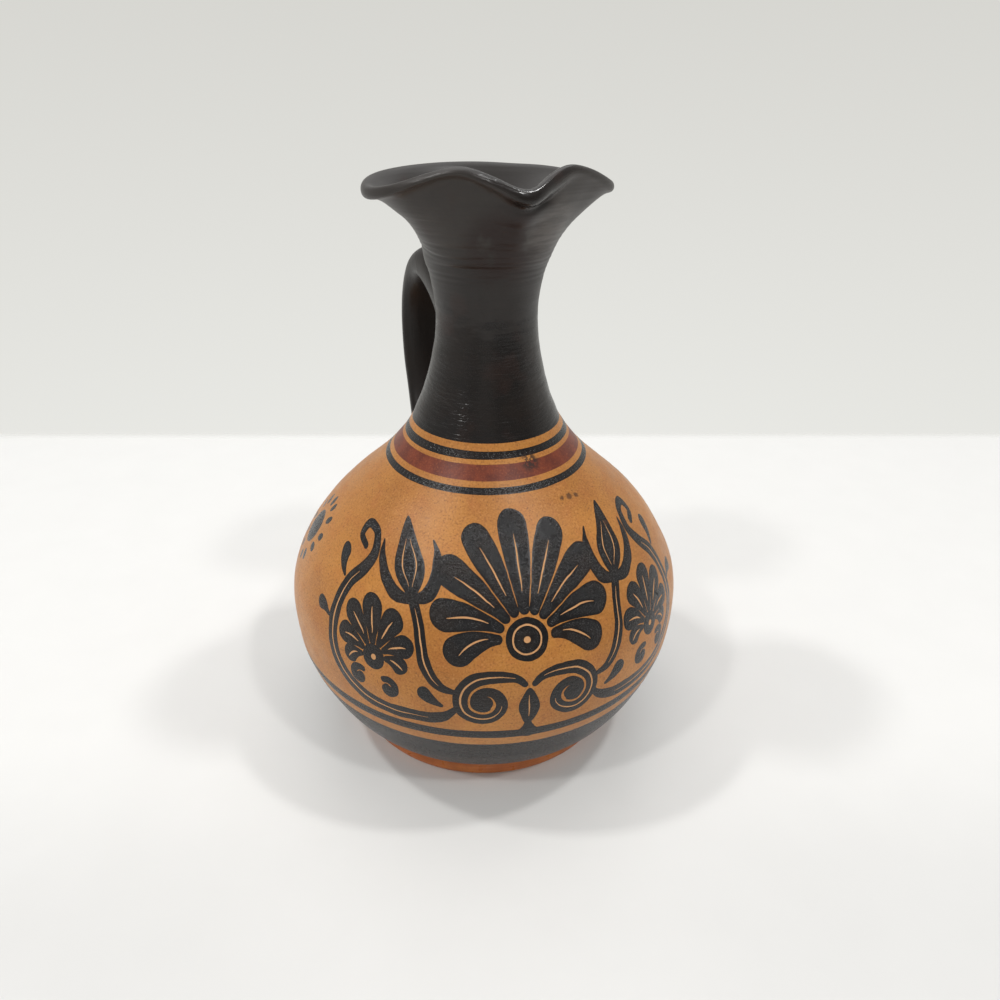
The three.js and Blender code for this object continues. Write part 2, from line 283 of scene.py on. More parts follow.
# ------------------------------------------------------------------ painted ornament
# A traditional palmette with volutes, running tendrils, side palmettes and lotus buds, in millimetres on the clay.
def catmull(P, step=0.5, closed=False):
    P = np.asarray(P, float)
    Q = np.vstack([P[-1], P, P[0], P[1]]) if closed else np.vstack([2 * P[0] - P[1], P, 2 * P[-1] - P[-2]])
    out = []
    for i in range(len(P) if closed else len(P) - 1):
        p0, p1, p2, p3 = Q[i], Q[i + 1], Q[i + 2], Q[i + 3]
        k = max(2, int(math.ceil(np.hypot(*(p2 - p1)) / step)))
        t = np.linspace(0, 1, k, endpoint=False)[:, None]
        out.append(0.5 * (2 * p1 + (p2 - p0) * t + (2 * p0 - 5 * p1 + 4 * p2 - p3) * t * t + (3 * p1 - p0 - 3 * p2 + p3) * t ** 3))
    out = np.vstack(out)
    return out if closed else np.vstack([out, P[-1]])


def resample(P, step):
    d = np.r_[0, np.cumsum(np.hypot(*np.diff(P, axis=0).T))]
    t = np.linspace(0, d[-1], max(3, int(math.ceil(d[-1] / step)) + 1))
    return np.stack([np.interp(t, d, P[:, 0]), np.interp(t, d, P[:, 1])], 1), t / d[-1]


def stroke(P, w, step=0.45):
    """Outline of a brush stroke along P with widths w spread along it, and its centre line."""
    C, t = resample(np.asarray(P, float), step)
    W = np.interp(t, np.linspace(0, 1, len(w)), w) / 2
    T = np.gradient(C, axis=0)
    T /= np.hypot(*T.T)[:, None]
    N = np.stack([-T[:, 1], T[:, 0]], 1)

    def cap(c, tv, nv, r):
        a = np.linspace(0, PI, max(2, int(PI * r / step)) + 1)[1:-1]
        return c + np.outer(np.cos(a), nv) * r + np.outer(np.sin(a), tv) * r
    parts = [C + N * W[:, None]]
    if W[-1] > 0.12:
        parts.append(cap(C[-1], T[-1], N[-1], W[-1]))
    parts.append((C - N * W[:, None])[::-1])
    if W[0] > 0.12:
        parts.append(cap(C[0], -T[0], -N[0], W[0]))
    return np.vstack(parts), C


def disc(c, r, step=0.45, ex=1.0, rot=0.0):
    a = np.linspace(0, 2 * PI, max(10, int(2 * PI * r / step)), endpoint=False)
    x, y = r * np.cos(a) * ex, r * np.sin(a)
    return np.stack([c[0] + x * math.cos(rot) - y * math.sin(rot), c[1] + x * math.sin(rot) + y * math.cos(rot)], 1)


def petal_line(c, ang, r0, r1, bend):
    t = np.linspace(0, 1, 24)
    a, r = ang + bend * t ** 1.5, r0 + (r1 - r0) * t
    return np.stack([c[0] + r * np.sin(a), c[1] + r * np.cos(a)], 1)


def petal(c, ang, r0, r1, w, bend=0.0, w0=0.32):
    C = petal_line(c, ang, r0, r1, bend)
    t = np.linspace(0, 1, len(C))
    W = w * (w0 + (1 - w0) * np.sin(PI / 2 * np.clip(t / 0.80, 0, 1)) ** 1.3)
    keep = t <= 1 - 0.5 * w / (r1 - r0) + 1e-9
    return stroke(C[keep], W[keep], 0.5)[0]


def spiral(c, r0, r1, turns, a0, sense=1, n=90):
    t = np.linspace(0, 1, n)
    a, r = a0 + sense * 2 * PI * turns * t, r0 + (r1 - r0) * t ** 0.85
    return np.stack([c[0] + r * np.cos(a), c[1] + r * np.sin(a)], 1)


def ornament():
    """Black outlines; incised lines as (outline, centre line); incised rings as (centre, radius, width)."""
    black, cuts, rings = [], [], []

    def palmette(c, R, n, spread, tilt, r0, side, w, m):
        for a in np.linspace(-spread, spread, n):
            k = abs(a) / spread
            Rl = R * (1 - (1 - side) * k ** 1.6)
            bend = 0.34 * np.sign(a) * k ** 1.2
            black.append(m(petal(c, a + tilt, r0, Rl, w * (1 - 0.14 * k), bend)))
            line = petal_line(c, a + tilt, r0 + 0.16 * (Rl - r0), r0 + 0.70 * (Rl - r0), bend * 0.75)
            cut(line, [0.12, 0.38, 0.44, 0.38, 0.12], m)

    def cut(line, w, m, step=0.75):
        o, c = stroke(line, w, step)
        cuts.append((m(o), m(c)))

    same, flip = (lambda P: np.asarray(P, float)), (lambda P: np.asarray(P, float) * [-1, 1])
    c = (0, 24.4)
    palmette(c, 32.0, 9, 1.52, 0, 7.0, 0.64, 8.7, same)
    black.append(disc(c, 5.1))
    rings.append((np.array(c, float), 3.4, 0.42))
    rings.append((np.array(c, float), 0.0, 1.6))
    black.append(catmull([(0, 12.6), (2.2, 9.4), (2.5, 5.8), (0, 1.4), (-2.5, 5.8), (-2.2, 9.4)], 0.5, True))
    cut([(0, 10.6), (0, 7.4), (0, 4.2)], [0.1, 0.40, 0.1], same)
    black.append(stroke([(0, 1.4), (0, 0.4), (0, -0.5)], [2.2, 3.4, 5.2])[0])
    for m in (same, flip):
        ctr = np.array([10.4, 9.0])
        sp = spiral(ctr, 6.9, 1.5, 1.55, PI * 0.5, -1, 120)
        P = np.vstack([catmull([(1.2, 13.6), (3.0, 15.2), (6.0, 16.0), (9.4, 16.0)], 0.5), sp[2:]])
        black.append(m(stroke(P, [1.6, 3.0, 3.5, 3.4, 3.2, 3.0, 2.7, 2.4, 2.0])[0]))
        black.append(m(disc(ctr, 2.0)))
        cut(P[6:74], [0.1, 0.34, 0.40, 0.40, 0.40, 0.34, 0.1], m)
        P = catmull([(16.6, 7.4), (19.2, 4.8), (22.8, 3.3), (28, 3.0), (34.5, 3.0), (42.0, 4.6), (48.2, 9.4), (51.2, 16.4),
                     (50.8, 23.8), (47.6, 30.4), (43.2, 35.0), (40.4, 39.4), (41.2, 43.8), (45.0, 44.9), (46.8, 41.6), (44.4, 39.8)], 0.6)
        black.append(m(stroke(P, [1.4, 3.2, 3.7, 3.7, 3.7, 3.7, 3.7, 3.6, 3.5, 3.4, 3.2, 2.9, 2.6, 2.3, 2.0])[0]))
        cut(P[16:-40], [0.1, 0.34, 0.40, 0.40, 0.40, 0.34, 0.1], m)
        cs = (37.6, 16.4)
        palmette(cs, 14.6, 7, 1.56, 0.10, 3.8, 0.66, 6.2, m)
        black.append(m(disc(cs, 3.1)))
        rings.append((m(np.array([cs], float))[0], 0.0, 1.4))
        for cx, cy, a0, sn in ((33.6, 9.2, PI * 0.35, 1), (42.0, 9.8, PI * 0.65, -1)):
            black.append(m(stroke(spiral((cx, cy), 2.6, 0.8, 1.0, a0, sn), [1.7, 2.0, 1.7, 1.4])[0]))
            black.append(m(disc((cx, cy), 1.1)))
        Q = catmull([(17.0, 11.6), (20.6, 12.8), (23.6, 16.4), (25.2, 21.6), (26.0, 27.0), (27.6, 32.4)], 0.6)
        black.append(m(stroke(Q, [1.2, 2.7, 3.0, 2.9, 2.8, 2.8])[0]))
        cut(Q[8:-4], [0.1, 0.34, 0.38, 0.34, 0.1], m)
        tip, g = np.array([27.8, 32.8]), 0.20
        d, n = np.array([math.sin(g), math.cos(g)]), np.array([math.cos(g), -math.sin(g)])

        def loc(u, v):
            return tip + d * u + n * v
        black.append(m(catmull([loc(-0.5, 0), loc(2.2, 3.0), loc(6.4, 4.5), loc(11.6, 3.0), loc(18.0, 0), loc(11.6, -3.0),
                                loc(6.4, -4.5), loc(2.2, -3.0)], 0.5, True)))
        for v in (1, -1):
            cut(catmull([loc(2.0, 0.5 * v), loc(6.8, 2.1 * v), loc(12.6, 0.6 * v)], 0.6), [0.1, 0.40, 0.1], m)
            sep = catmull([loc(-0.9, 0.5 * v), loc(0.2, 4.4 * v), loc(3.8, 7.2 * v), loc(8.6, 8.4 * v), loc(12.2, 7.9 * v)], 0.5)
            black.append(m(stroke(sep, [2.0, 3.5, 3.3, 2.5, 0.5])[0]))
        black.append(m(petal((20.4, 7.6), 1.15, 0, 7.0, 3.6, -0.3)))
        black.append(m(petal((49.8, 31.2), 0.62, 0.2, 7.4, 4.0, -0.5)))
        black.append(m(petal((53.2, 20.6), 1.05, 0.2, 6.2, 3.4, 0.4)))
    return black, cuts, rings


def dot_rosette(seed):
    rng = np.random.RandomState(seed)
    out = [disc((0, 0), 4.7, ex=1.05)]
    for k in range(12):
        a = 2 * PI * (k + 0.3) / 12 + rng.uniform(-.06, .06)
        rr = 8.5 + rng.uniform(-.3, .3)
        out.append(disc((rr * math.cos(a), rr * math.sin(a)), 1.12 + rng.uniform(-.14, .16), ex=1.40, rot=a))
    return out


# The panel stands on the top of the ground line; r_eff keeps its widths nearly true where the pot narrows.
GROUND = s_at(31.05)
PANEL_PHI = math.radians(-10.0)


def place(P, phi0, s0):
    """Panel millimetres -> (angle * R_REF, distance up the meridian), with the unevenness of a brush."""
    P = np.asarray(P, float)
    s = s0 + P[:, 1]
    r = mer(s)[0]
    X = (phi0 + P[:, 0] / (r ** 0.6 * R_REF ** 0.4)) * R_REF
    Q = np.stack([X, s, np.zeros(len(P))], 1)
    w = np.stack([noise(Q, 4.0, 11) * 0.16 + noise(Q, 1.3, 12) * 0.05, noise(Q, 4.0, 13) * 0.16 + noise(Q, 1.3, 14) * 0.05], 1)
    return np.stack([X, s], 1) + w


def wind(P, poly):
    """True for the points P inside poly, by winding number."""
    out = np.zeros(len(P), bool)
    lo, hi = poly.min(0), poly.max(0)
    k = np.nonzero((P[:, 0] > lo[0]) & (P[:, 0] < hi[0]) & (P[:, 1] > lo[1]) & (P[:, 1] < hi[1]))[0]
    if len(k):
        x, y = P[k, 0][:, None], P[k, 1][:, None]
        x0, y0 = poly[:, 0], poly[:, 1]
        x1, y1 = np.roll(x0, -1), np.roll(y0, -1)
        side = (x1 - x0) * (y - y0) - (x - x0) * (y1 - y0)
        out[k] = (((y0 <= y) & (y1 > y) & (side > 0)).sum(1) - ((y0 > y) & (y1 <= y) & (side < 0)).sum(1)) != 0
    return out


# Turned bands, bottom to top: height, and the paint that lies above it up to the next.
CLAY, BLACK, MAROON, CUT = range(4)
BANDS = [(25.3, CLAY), (28.3, BLACK), (31.05, CLAY), (79.66, BLACK), (80.93, CLAY), (82.08, MAROON),
         (85.2, CLAY), (86.22, BLACK), (87.88, CLAY)]
W2 = PI * R_REF


def band_line(z, seed):
    r = float(np.interp(z, MER[:, 1], MER[:, 0]))
    n = int(2 * PI * r / 1.25)
    X = np.linspace(-W2, W2, n + 1)
    phi = X / R_REF
    w = ring_noise(phi, z, 22.0, seed, r) * 0.13 + ring_noise(phi, z, 5.0, seed + 50, r) * 0.045
    w[-1] = w[0]
    return np.stack([X, s_at(z) + w], 1)


band_lines = [band_line(z, 100 + i) for i, (z, _) in enumerate(BANDS)]


def paint_of_bands(P):
    out = np.full(len(P), BLACK)
    for line, (_, kind) in zip(band_lines, BANDS):
        out[P[:, 1] > np.interp(P[:, 0], line[:, 0], line[:, 1])] = kind
    return out


# ------------------------------------------------------------------ the bulb, its paint cut into the mesh
def body_surface():
    black, cuts, rings = ornament()
    black = [place(p, PANEL_PHI, GROUND) for p in black]
    cut_out = [place(o, PANEL_PHI, GROUND) for o, _ in cuts]
    cut_mid = [place(c, PANEL_PHI, GROUND) for _, c in cuts]
    dots, ring_pairs = [], []
    for c, r, w in rings:
        if r == 0:
            dots.append(place(disc(c, w / 2, 0.3), PANEL_PHI, GROUND))
            cut_mid.append(place(np.array([c, c + [0.01, 0]]), PANEL_PHI, GROUND)[:1])
        else:
            ring_pairs.append((place(disc(c, r + w / 2, 0.6), PANEL_PHI, GROUND), place(disc(c, r - w / 2, 0.6), PANEL_PHI, GROUND)))
            mid = place(disc(c, r, 0.6), PANEL_PHI, GROUND)
            cut_mid.append(np.vstack([mid, mid[:1]]))
    for phi0, seed in ((math.radians(-101.3), 5), (math.radians(90.0), 6)):
        s0 = s_at(60.3)
        for p in dot_rosette(seed):
            black.append(place(p, phi0, s0))
    # constraint lines
    pts, edges = [], []

    def add(P, closed):
        k = len(pts)
        pts.extend(map(tuple, P))
        n = len(P)
        edges.extend((k + i, k + i + 1) for i in range(n - 1))
        if closed:
            edges.append((k + n - 1, k))

    for p in black + cut_out + dots:
        add(p, True)
    for a, b in ring_pairs:
        add(a, True)
        add(b, True)
    for c in cut_mid:
        add(c, False)
    fine = np.array(pts)
    for line in band_lines:
        add(line[1:-1], False)
    band_pts = np.array(pts[len(fine):])
    # frame of the sheet: seam behind the handle, bottom and top rows
    ends = sorted(set(round(float(l[0, 1]), 5) for l in band_lines))
    rows = np.arange(1.25, S_TOP - 0.7, 1.25)
    rows = [float(s) for s in rows if min(abs(s - e) for e in ends) > 0.55]
    side = np.array(sorted(rows + ends))
    N_LOW, N_TOP = 192, 128
    low = np.linspace(-W2, W2, N_LOW + 1)
    top = np.linspace(-W2, W2, N_TOP + 1)
    k0 = len(pts)
    loop = [(x, 0.0) for x in low[:-1]] + [(W2, 0.0)] + [(W2, s) for s in side] + [(x, S_TOP) for x in top[::-1]] + [(-W2, s) for s in side[::-1]]
    pts.extend(loop)
    edges.extend((k0 + i, k0 + (i + 1) % len(loop)) for i in range(len(loop)))
    # the band lines reach the seam
    k = len(fine)
    for line in band_lines:
        n = len(line) - 2
        for end, first in ((line[0], k), (line[-1], k + n - 1)):
            j = min(range(k0, len(pts)), key=lambda q: abs(pts[q][0] - end[0]) + abs(pts[q][1] - end[1]))
            edges.append((first, j))
        k += n
    # even points between, kept clear of the drawn lines
    grid = []
    for i, s in enumerate(np.arange(1.25, S_TOP - 0.7, 1.25)):
        r = float(mer(s)[0])
        n = int(2 * PI * r / 1.35)
        grid.append(np.stack([-W2 + (np.arange(n) + (0.5 if i % 2 else 0.85)) * 2 * W2 / n, np.full(n, s)], 1))
    grid = np.vstack(grid)
    kd = kdtree.KDTree(len(fine))
    for i, p in enumerate(fine):
        kd.insert((p[0], p[1], 0), i)
    kd.balance()
    near = np.array([kd.find((p[0], p[1], 0))[2] for p in grid])
    away = near > 0.5
    for line in band_lines:
        away &= np.abs(grid[:, 1] - np.interp(grid[:, 0], line[:, 0], line[:, 1])) > 0.5
    away &= (np.abs(np.abs(grid[:, 0]) - W2) > 0.6)
    pts.extend(map(tuple, grid[away]))
    out = geometry.delaunay_2d_cdt([Vector(p) for p in pts], edges, [], 0, 1e-5, False)
    P = np.array([tuple(v) for v in out[0]], float)
    T = np.array([tuple(f) for f in out[2]], int)
    area = np.cross(P[T[:, 1]] - P[T[:, 0]], P[T[:, 2]] - P[T[:, 0]])
    T[area < 0] = T[area < 0][:, ::-1]
    # close the seam
    L, R = np.nonzero(P[:, 0] < -W2 + 1e-3)[0], np.nonzero(P[:, 0] > W2 - 1e-3)[0]
    to = np.arange(len(P))
    for j in R:
        to[j] = L[np.argmin(np.abs(P[L, 1] - P[j, 1]))]
    mid = P[T].mean(1)
    T = to[T]
    ok = (T[:, 0] != T[:, 1]) & (T[:, 1] != T[:, 2]) & (T[:, 2] != T[:, 0])
    T, mid = T[ok], mid[ok]
    # paint of each triangle
    kind = paint_of_bands(mid)
    for p in black:
        kind[wind(mid, p)] = BLACK
    cutm = np.zeros(len(mid), bool)
    for p in cut_out + dots:
        cutm |= wind(mid, p)
    for a, b in ring_pairs:
        cutm |= wind(mid, a) & ~wind(mid, b)
    kind[cutm & (kind == BLACK)] = CUT
    used = np.unique(T)
    new = np.full(len(P), -1)
    new[used] = np.arange(len(used))
    return P[used], new[T], kind


P2, T2, kind2 = body_surface()
phi2, s2 = P2[:, 0] / R_REF, P2[:, 1]
# distance to the nearest edge between two paints
edge_map = {}
for f, k in zip(T2, kind2):
    for a, b in ((f[0], f[1]), (f[1], f[2]), (f[2], f[0])):
        edge_map.setdefault((min(a, b), max(a, b)), []).append(k)
rim_v = sorted({v for e, ks in edge_map.items() if len(set(ks)) > 1 for v in e})
r2, z2 = mer(s2)
nr2, nz2 = mer_normal(s2)
base2 = round_pos(phi2, r2, z2)
kd = kdtree.KDTree(len(rim_v))
for v in rim_v:
    kd.insert(base2[v], v)
kd.balance()
edge2 = np.array([kd.find(p)[2] for p in base2])
only = {}
for kk in (BLACK, CUT, MAROON):
    m = np.ones(len(P2), bool)
    m[np.unique(T2[kind2 != kk])] = False
    only[kk] = m
fade = sstep(0, 2.0, s2) * sstep(0, 2.5, S_TOP - s2)


def hand_thrown(phi, r, z, P):
    """The unevenness of a pot thrown and burnished by hand, in mm along the normal."""
    q = round_pos(phi, np.full(len(phi), 30.0), z)
    return (noise(q, (34, 34, 22), 1) * 0.34 + noise(q, (14, 14, 9), 2) * 0.10
            + noise(q, (26, 26, 3.4), 3) * 0.055 + noise(q, (22, 22, 1.7), 4) * 0.022)


off2 = hand_thrown(phi2, r2, z2, base2) * fade
off2 += np.where(only[BLACK], 0.030, 0) * sstep(0.0, 0.5, edge2) + np.where(only[MAROON], 0.022, 0) * sstep(0.0, 0.4, edge2)
off2 -= np.where(only[CUT], 0.07, 0)
outer = base2 + np.stack([nr2 * np.sin(phi2), -nr2 * np.cos(phi2), nz2], 1) * off2[:, None]

n_out = tri_normals(outer, T2[kind2 != CUT])
lost = np.linalg.norm(n_out, axis=1) < 0.5
n_out[lost] = tri_normals(outer, T2)[lost]
n_cut = tri_normals(outer, T2[kind2 == CUT])
ideal = np.stack([nr2 * np.sin(phi2), -nr2 * np.cos(phi2), nz2], 1)
at_top = sstep(1.6, 0.0, S_TOP - s2)[:, None]
n_out = n_out * (1 - at_top) + ideal * at_top
n_out /= np.linalg.norm(n_out, axis=1)[:, None]

top_ids = np.nonzero(s2 > S_TOP - 1e-4)[0]
top_ids = top_ids[np.argsort(phi2[top_ids])]
low_ids = np.nonzero(s2 < 1e-4)[0]
low_ids = low_ids[np.argsort(phi2[low_ids])]

# inside of the bulb, from the neck down to the middle of the floor
inner_line = []
for s in np.linspace(S_TOP, s_at(12.5), 60):
    r, z = mer(s)
    nr, nz = mer_normal(s)
    inner_line.append([r - WALL * nr, z - WALL * nz])
inner_line[0] = [float(mer(S_TOP)[0]) - WALL * 1.05, SHOULDER_Z]
tail = [[41.6, 11.6], [39.6, 10.1], [37.0, 9.1], [33.0, 8.6], [26.0, 8.5], [18.0, 8.55], [10.0, 8.7], [3.0, 8.9]]
inner_line = np.array(inner_line[:-1] + tail)
inner_line = np.vstack([inner_line[:1], spline(inner_line[1:], 1.6)[0]])
n_top = len(top_ids)
phi_top = phi2[top_ids]
in_rows = []
for k, (r, z) in enumerate(inner_line):
    q = round_pos(phi_top, np.full(n_top, 30.0), np.full(n_top, z if r > 34 else 200 + r))
    d = (noise(q, (40, 40, 3.2), 21) * 0.16 + noise(q, (20, 20, 8), 22) * 0.12) * (0 if k == 0 else 1)
    in_rows.append(round_pos(phi_top, np.full(n_top, r) - (d if r > 34 else 0), z + (d if r <= 34 else 0)))
in_rows = np.array(in_rows)
# underside, inside and under the foot ring, with its turning spiral
n_low = len(low_ids)
phi_low = phi2[low_ids]
under_r = np.r_[38.3, np.linspace(33.4, 1.2, 34)]
under = []
for r in under_r:
    spiral_mark = 0.10 * np.sin(2 * PI * r / 2.6 + phi_low) if r < 33 else 0 * phi_low
    rise = 0.9 * sstep(33.0, 6.0, r) + spiral_mark
    if r > 38:
        rise = 0 * phi_low
    q = round_pos(phi_low, np.full(n_low, r), np.zeros(n_low))
    under.append(round_pos(phi_low, np.full(n_low, r), FLOOR_Z + rise * (1 if r < 33 else 0) + noise(q, 5.0, 31) * (0.05 if r < 33 else 0)))
under = np.array(under)

V = [outer, in_rows.reshape(-1, 3), under.reshape(-1, 3)]
o1 = len(outer)
o2 = o1 + in_rows.shape[0] * n_top
faces = [list(f) for f in T2]
paint = list(kind2)
rows_in = [o1 + k * n_top + np.arange(n_top) for k in range(len(in_rows))]
flat_faces = []
seq = [(top_ids, rows_in[0], 9)] + [(rows_in[k], rows_in[k + 1], 5) for k in range(len(rows_in) - 1)]
for a, b, what in seq:
    q = strip(a, b)
    if what == 9:
        flat_faces += list(range(len(faces), len(faces) + len(q)))
    faces += q
    paint += [5] * len(q)
cen_in = sum(map(len, V))
V.append(np.array([[0, 0, inner_line[-1][1] + 0.05]]))
a = rows_in[-1]
faces += [[a[i], a[(i + 1) % n_top], cen_in] for i in range(n_top)]
paint += [5] * n_top
rows_un = [o2 + k * n_low + np.arange(n_low) for k in range(len(under))]
for a, b in zip([low_ids] + rows_un[:-1], rows_un):
    q = strip(b, a)
    faces += q
    paint += [6] * len(q)
cen_un = sum(map(len, V))
V.append(np.array([[0, 0, float(under[-1][:, 2].mean())]]))
a = rows_un[-1]
faces += [[a[(i + 1) % n_low], a[i], cen_un] for i in range(n_low)]
paint += [6] * n_low
V = np.vstack(V)
N = np.zeros_like(V)
N[:o1] = n_out
g = grid_normals(in_rows)
N[o1:o2] = (g * np.sign((g * (in_rows * [-1, -1, 0] + [0, 0, 20])).sum(2).mean() or 1)).reshape(-1, 3)
gi = grid_normals(in_rows[::-1])[::-1]
N[o1:o2] = gi.reshape(-1, 3) * -1
gu = grid_normals(under)
gu *= -np.sign(gu[:, :, 2:3])
N[o2:o2 + len(under) * n_low] = gu.reshape(-1, 3)
N[cen_in], N[cen_un] = (0, 0, 1), (0, 0, -1)
first_under = next(i for i, p in enumerate(paint) if p == 6)
flat_faces += list(range(first_under, first_under + n_low))
paint = np.array(paint)
corner_paint = np.zeros((len(paint), 4), np.float32)
corner_paint[paint == BLACK, 0] = 1
corner_paint[paint == MAROON, 1] = 1
corner_paint[(paint == CUT) | (paint == 5) | (paint == 6), 2] = 1
corner_paint[:, 3] = 1


# ------------------------------------------------------------------ materials
def lin(*c):
    """8-bit sRGB -> linear RGBA."""
    f = [(x / 255) / 12.92 if x / 255 <= 0.04045 else ((x / 255 + 0.055) / 1.055) ** 2.4 for x in c]
    return (*f, 1.0)


class Look:
    """A principled material with short names for its procedural nodes. Lengths are in millimetres on the object."""

    def __init__(self, name):
        self.m = bpy.data.materials.new(name)
        self.m.use_nodes = True
        self.t = self.m.node_tree
        self.t.nodes.clear()
        out = self.t.nodes.new("ShaderNodeOutputMaterial")
        self.b = self.t.nodes.new("ShaderNodeBsdfPrincipled")
        self.t.links.new(self.b.outputs[0], out.inputs[0])
        obj = self.t.nodes.new("ShaderNodeTexCoord").outputs["Object"]
        self.p = self.vmath("SCALE", obj, scale=1000.0)
        sep = self.t.nodes.new("ShaderNodeSeparateXYZ")
        self.t.links.new(self.p, sep.inputs[0])
        self.x, self.y, self.z = sep.outputs
        flat = self.xyz(self.x, self.y, 0.0)
        self.dir = self.vmath("NORMALIZE", flat)
        d = self.t.nodes.new("ShaderNodeSeparateXYZ")
        self.t.links.new(self.dir, d.inputs[0])
        self.dx, self.dy, _ = d.outputs

    def put(self, sock, v):
        if isinstance(v, bpy.types.NodeSocket):
            self.t.links.new(v, sock)
        elif v is not None:
            sock.default_value = v

    def xyz(self, x, y, z):
        n = self.t.nodes.new("ShaderNodeCombineXYZ")
        for s, v in zip(n.inputs, (x, y, z)):
            self.put(s, v)
        return n.outputs[0]

    def vmath(self, op, a, b=None, scale=None):
        n = self.t.nodes.new("ShaderNodeVectorMath")
        n.operation = op
        self.put(n.inputs[0], a)
        if b is not None:
            self.put(n.inputs[1], b)
        if scale is not None:
            self.put(n.inputs["Scale"], scale)
        return n.outputs[0]

    def math(self, op, a, b=None, c=None, clamp=False):
        n = self.t.nodes.new("ShaderNodeMath")
        n.operation = op
        n.use_clamp = clamp
        for s, v in zip(n.inputs, (a, b, c)):
            if v is not None:
                self.put(s, v)
        return n.outputs[0]

    def noise(self, size, detail=2.0, rough=0.5, seed=0.0, vec=None, distort=0.0):
        n = self.t.nodes.new("ShaderNodeTexNoise")
        n.noise_dimensions = "3D"
        v = self.vmath("ADD", vec or self.p, (seed * 17.3, seed * -9.1, seed * 5.7))
        self.put(n.inputs["Vector"], v)
        n.inputs["Scale"].default_value = 1.0 / size
        n.inputs["Detail"].default_value = detail
        n.inputs["Roughness"].default_value = rough
        n.inputs["Distortion"].default_value = distort
        return n.outputs["Fac"]

    def rings(self, across, along, detail=2.0, seed=0.0, lean=0.0):
        """Noise drawn out round the wheel axis: across is its size up the pot, along its size round it."""
        z = self.z if not lean else self.math("ADD", self.z, self.math("MULTIPLY", self.dx, lean))
        v = self.xyz(self.math("MULTIPLY", self.dx, 30.0 * across / along), self.math("MULTIPLY", self.dy, 30.0 * across / along), z)
        return self.noise(across, detail, 0.55, seed, v)

    def voronoi(self, size, seed=0.0, feature="F1"):
        n = self.t.nodes.new("ShaderNodeTexVoronoi")
        n.feature = feature
        self.put(n.inputs["Vector"], self.vmath("ADD", self.p, (seed * 7.7, seed * 3.1, seed * -4.3)))
        n.inputs["Scale"].default_value = 1.0 / size
        return n.outputs["Distance"]

    def span(self, v, a, b, lo=0.0, hi=1.0, smooth=True):
        n = self.t.nodes.new("ShaderNodeMapRange")
        n.interpolation_type = "SMOOTHSTEP" if smooth else "LINEAR"
        n.clamp = True
        for s, w in zip(n.inputs, (v, a, b, lo, hi)):
            self.put(s, w)
        return n.outputs[0]

    def mix(self, fac, a, b, mode="MIX"):
        n = self.t.nodes.new("ShaderNodeMix")
        n.data_type = "RGBA"
        n.blend_type = mode
        self.put(n.inputs["Factor"], fac)
        self.put(n.inputs["A"] if n.inputs["A"].type == "RGBA" else [s for s in n.inputs if s.name == "A" and s.type == "RGBA"][0], a)
        self.put([s for s in n.inputs if s.name == "B" and s.type == "RGBA"][0], b)
        return [s for s in n.outputs if s.type == "RGBA"][0]

    def fmix(self, fac, a, b):
        n = self.t.nodes.new("ShaderNodeMix")
        n.data_type = "FLOAT"
        for s, v in zip([s for s in n.inputs if s.type == "VALUE"], (fac, a, b)):
            self.put(s, v)
        return [s for s in n.outputs if s.type == "VALUE"][0]

    def attr(self, name):
        n = self.t.nodes.new("ShaderNodeAttribute")
        n.attribute_type = "GEOMETRY"
        n.attribute_name = name
        return n

    def rgb(self, name):
        s = self.t.nodes.new("ShaderNodeSeparateColor")
        self.t.links.new(self.attr(name).outputs["Color"], s.inputs[0])
        return s.outputs

    def bump(self, height, mm, normal=None, strength=1.0):
        n = self.t.nodes.new("ShaderNodeBump")
        n.inputs["Strength"].default_value = strength
        n.inputs["Distance"].default_value = mm * MM
        self.put(n.inputs["Height"], height)
        if normal is not None:
            self.put(n.inputs["Normal"], normal)
        return n.outputs[0]


def clay_parts(k):
    """Colour, roughness and bump height of the bare burnished clay."""
    big = k.noise(18.0, 3.0, 0.55, 1)
    mid = k.noise(4.5, 3.0, 0.6, 2)
    grain = k.noise(0.46, 3.0, 0.65, 3)
    streak = k.rings(0.7, 9.0, 3.0, 4, 0.6)
    c = k.mix(k.span(big, 0.34, 0.66), CLAY_LOW, CLAY_HIGH)
    c = k.mix(k.span(mid, 0.42, 0.75, 0.0, 0.34), c, CLAY_RED)
    c = k.mix(k.span(streak, 0.50, 0.75, 0.0, 0.16), c, CLAY_PALE)
    c = k.mix(k.span(grain, 0.28, 0.49, 0.78, 0.0), c, CLAY_DARK)
    c = k.mix(k.span(grain, 0.53, 0.70, 0.0, 0.55), c, CLAY_PALE)
    # small dark specks, in loose clusters, and a few rubs of slip
    where = k.span(k.noise(7.0, 2.0, 0.6, 6), 0.56, 0.70)
    speck = k.span(k.noise(0.50, 2.0, 0.65, 7), 0.640, 0.70)
    lone = k.span(k.voronoi(4.2, 8), 0.060, 0.035)
    rub = k.math("MULTIPLY", k.span(k.noise(5.0, 2.0, 0.6, 9), 0.62, 0.72), k.span(k.rings(0.4, 2.0, 3.0, 10), 0.60, 0.68))
    dark = k.math("ADD", k.math("MULTIPLY", where, speck), k.math("ADD", k.math("MULTIPLY", lone, 0.6), k.math("MULTIPLY", rub, 0.5)), clamp=True)
    c = k.mix(k.math("MULTIPLY", dark, 0.80), c, lin(62, 40, 30))
    rough = k.span(k.math("ADD", k.math("MULTIPLY", streak, 0.4), k.math("MULTIPLY", mid, 0.6)), 0.3, 0.7, 0.34, 0.46)
    height = k.math("ADD", k.math("MULTIPLY", streak, 0.35), k.math("MULTIPLY", grain, 1.2))
    return c, rough, height


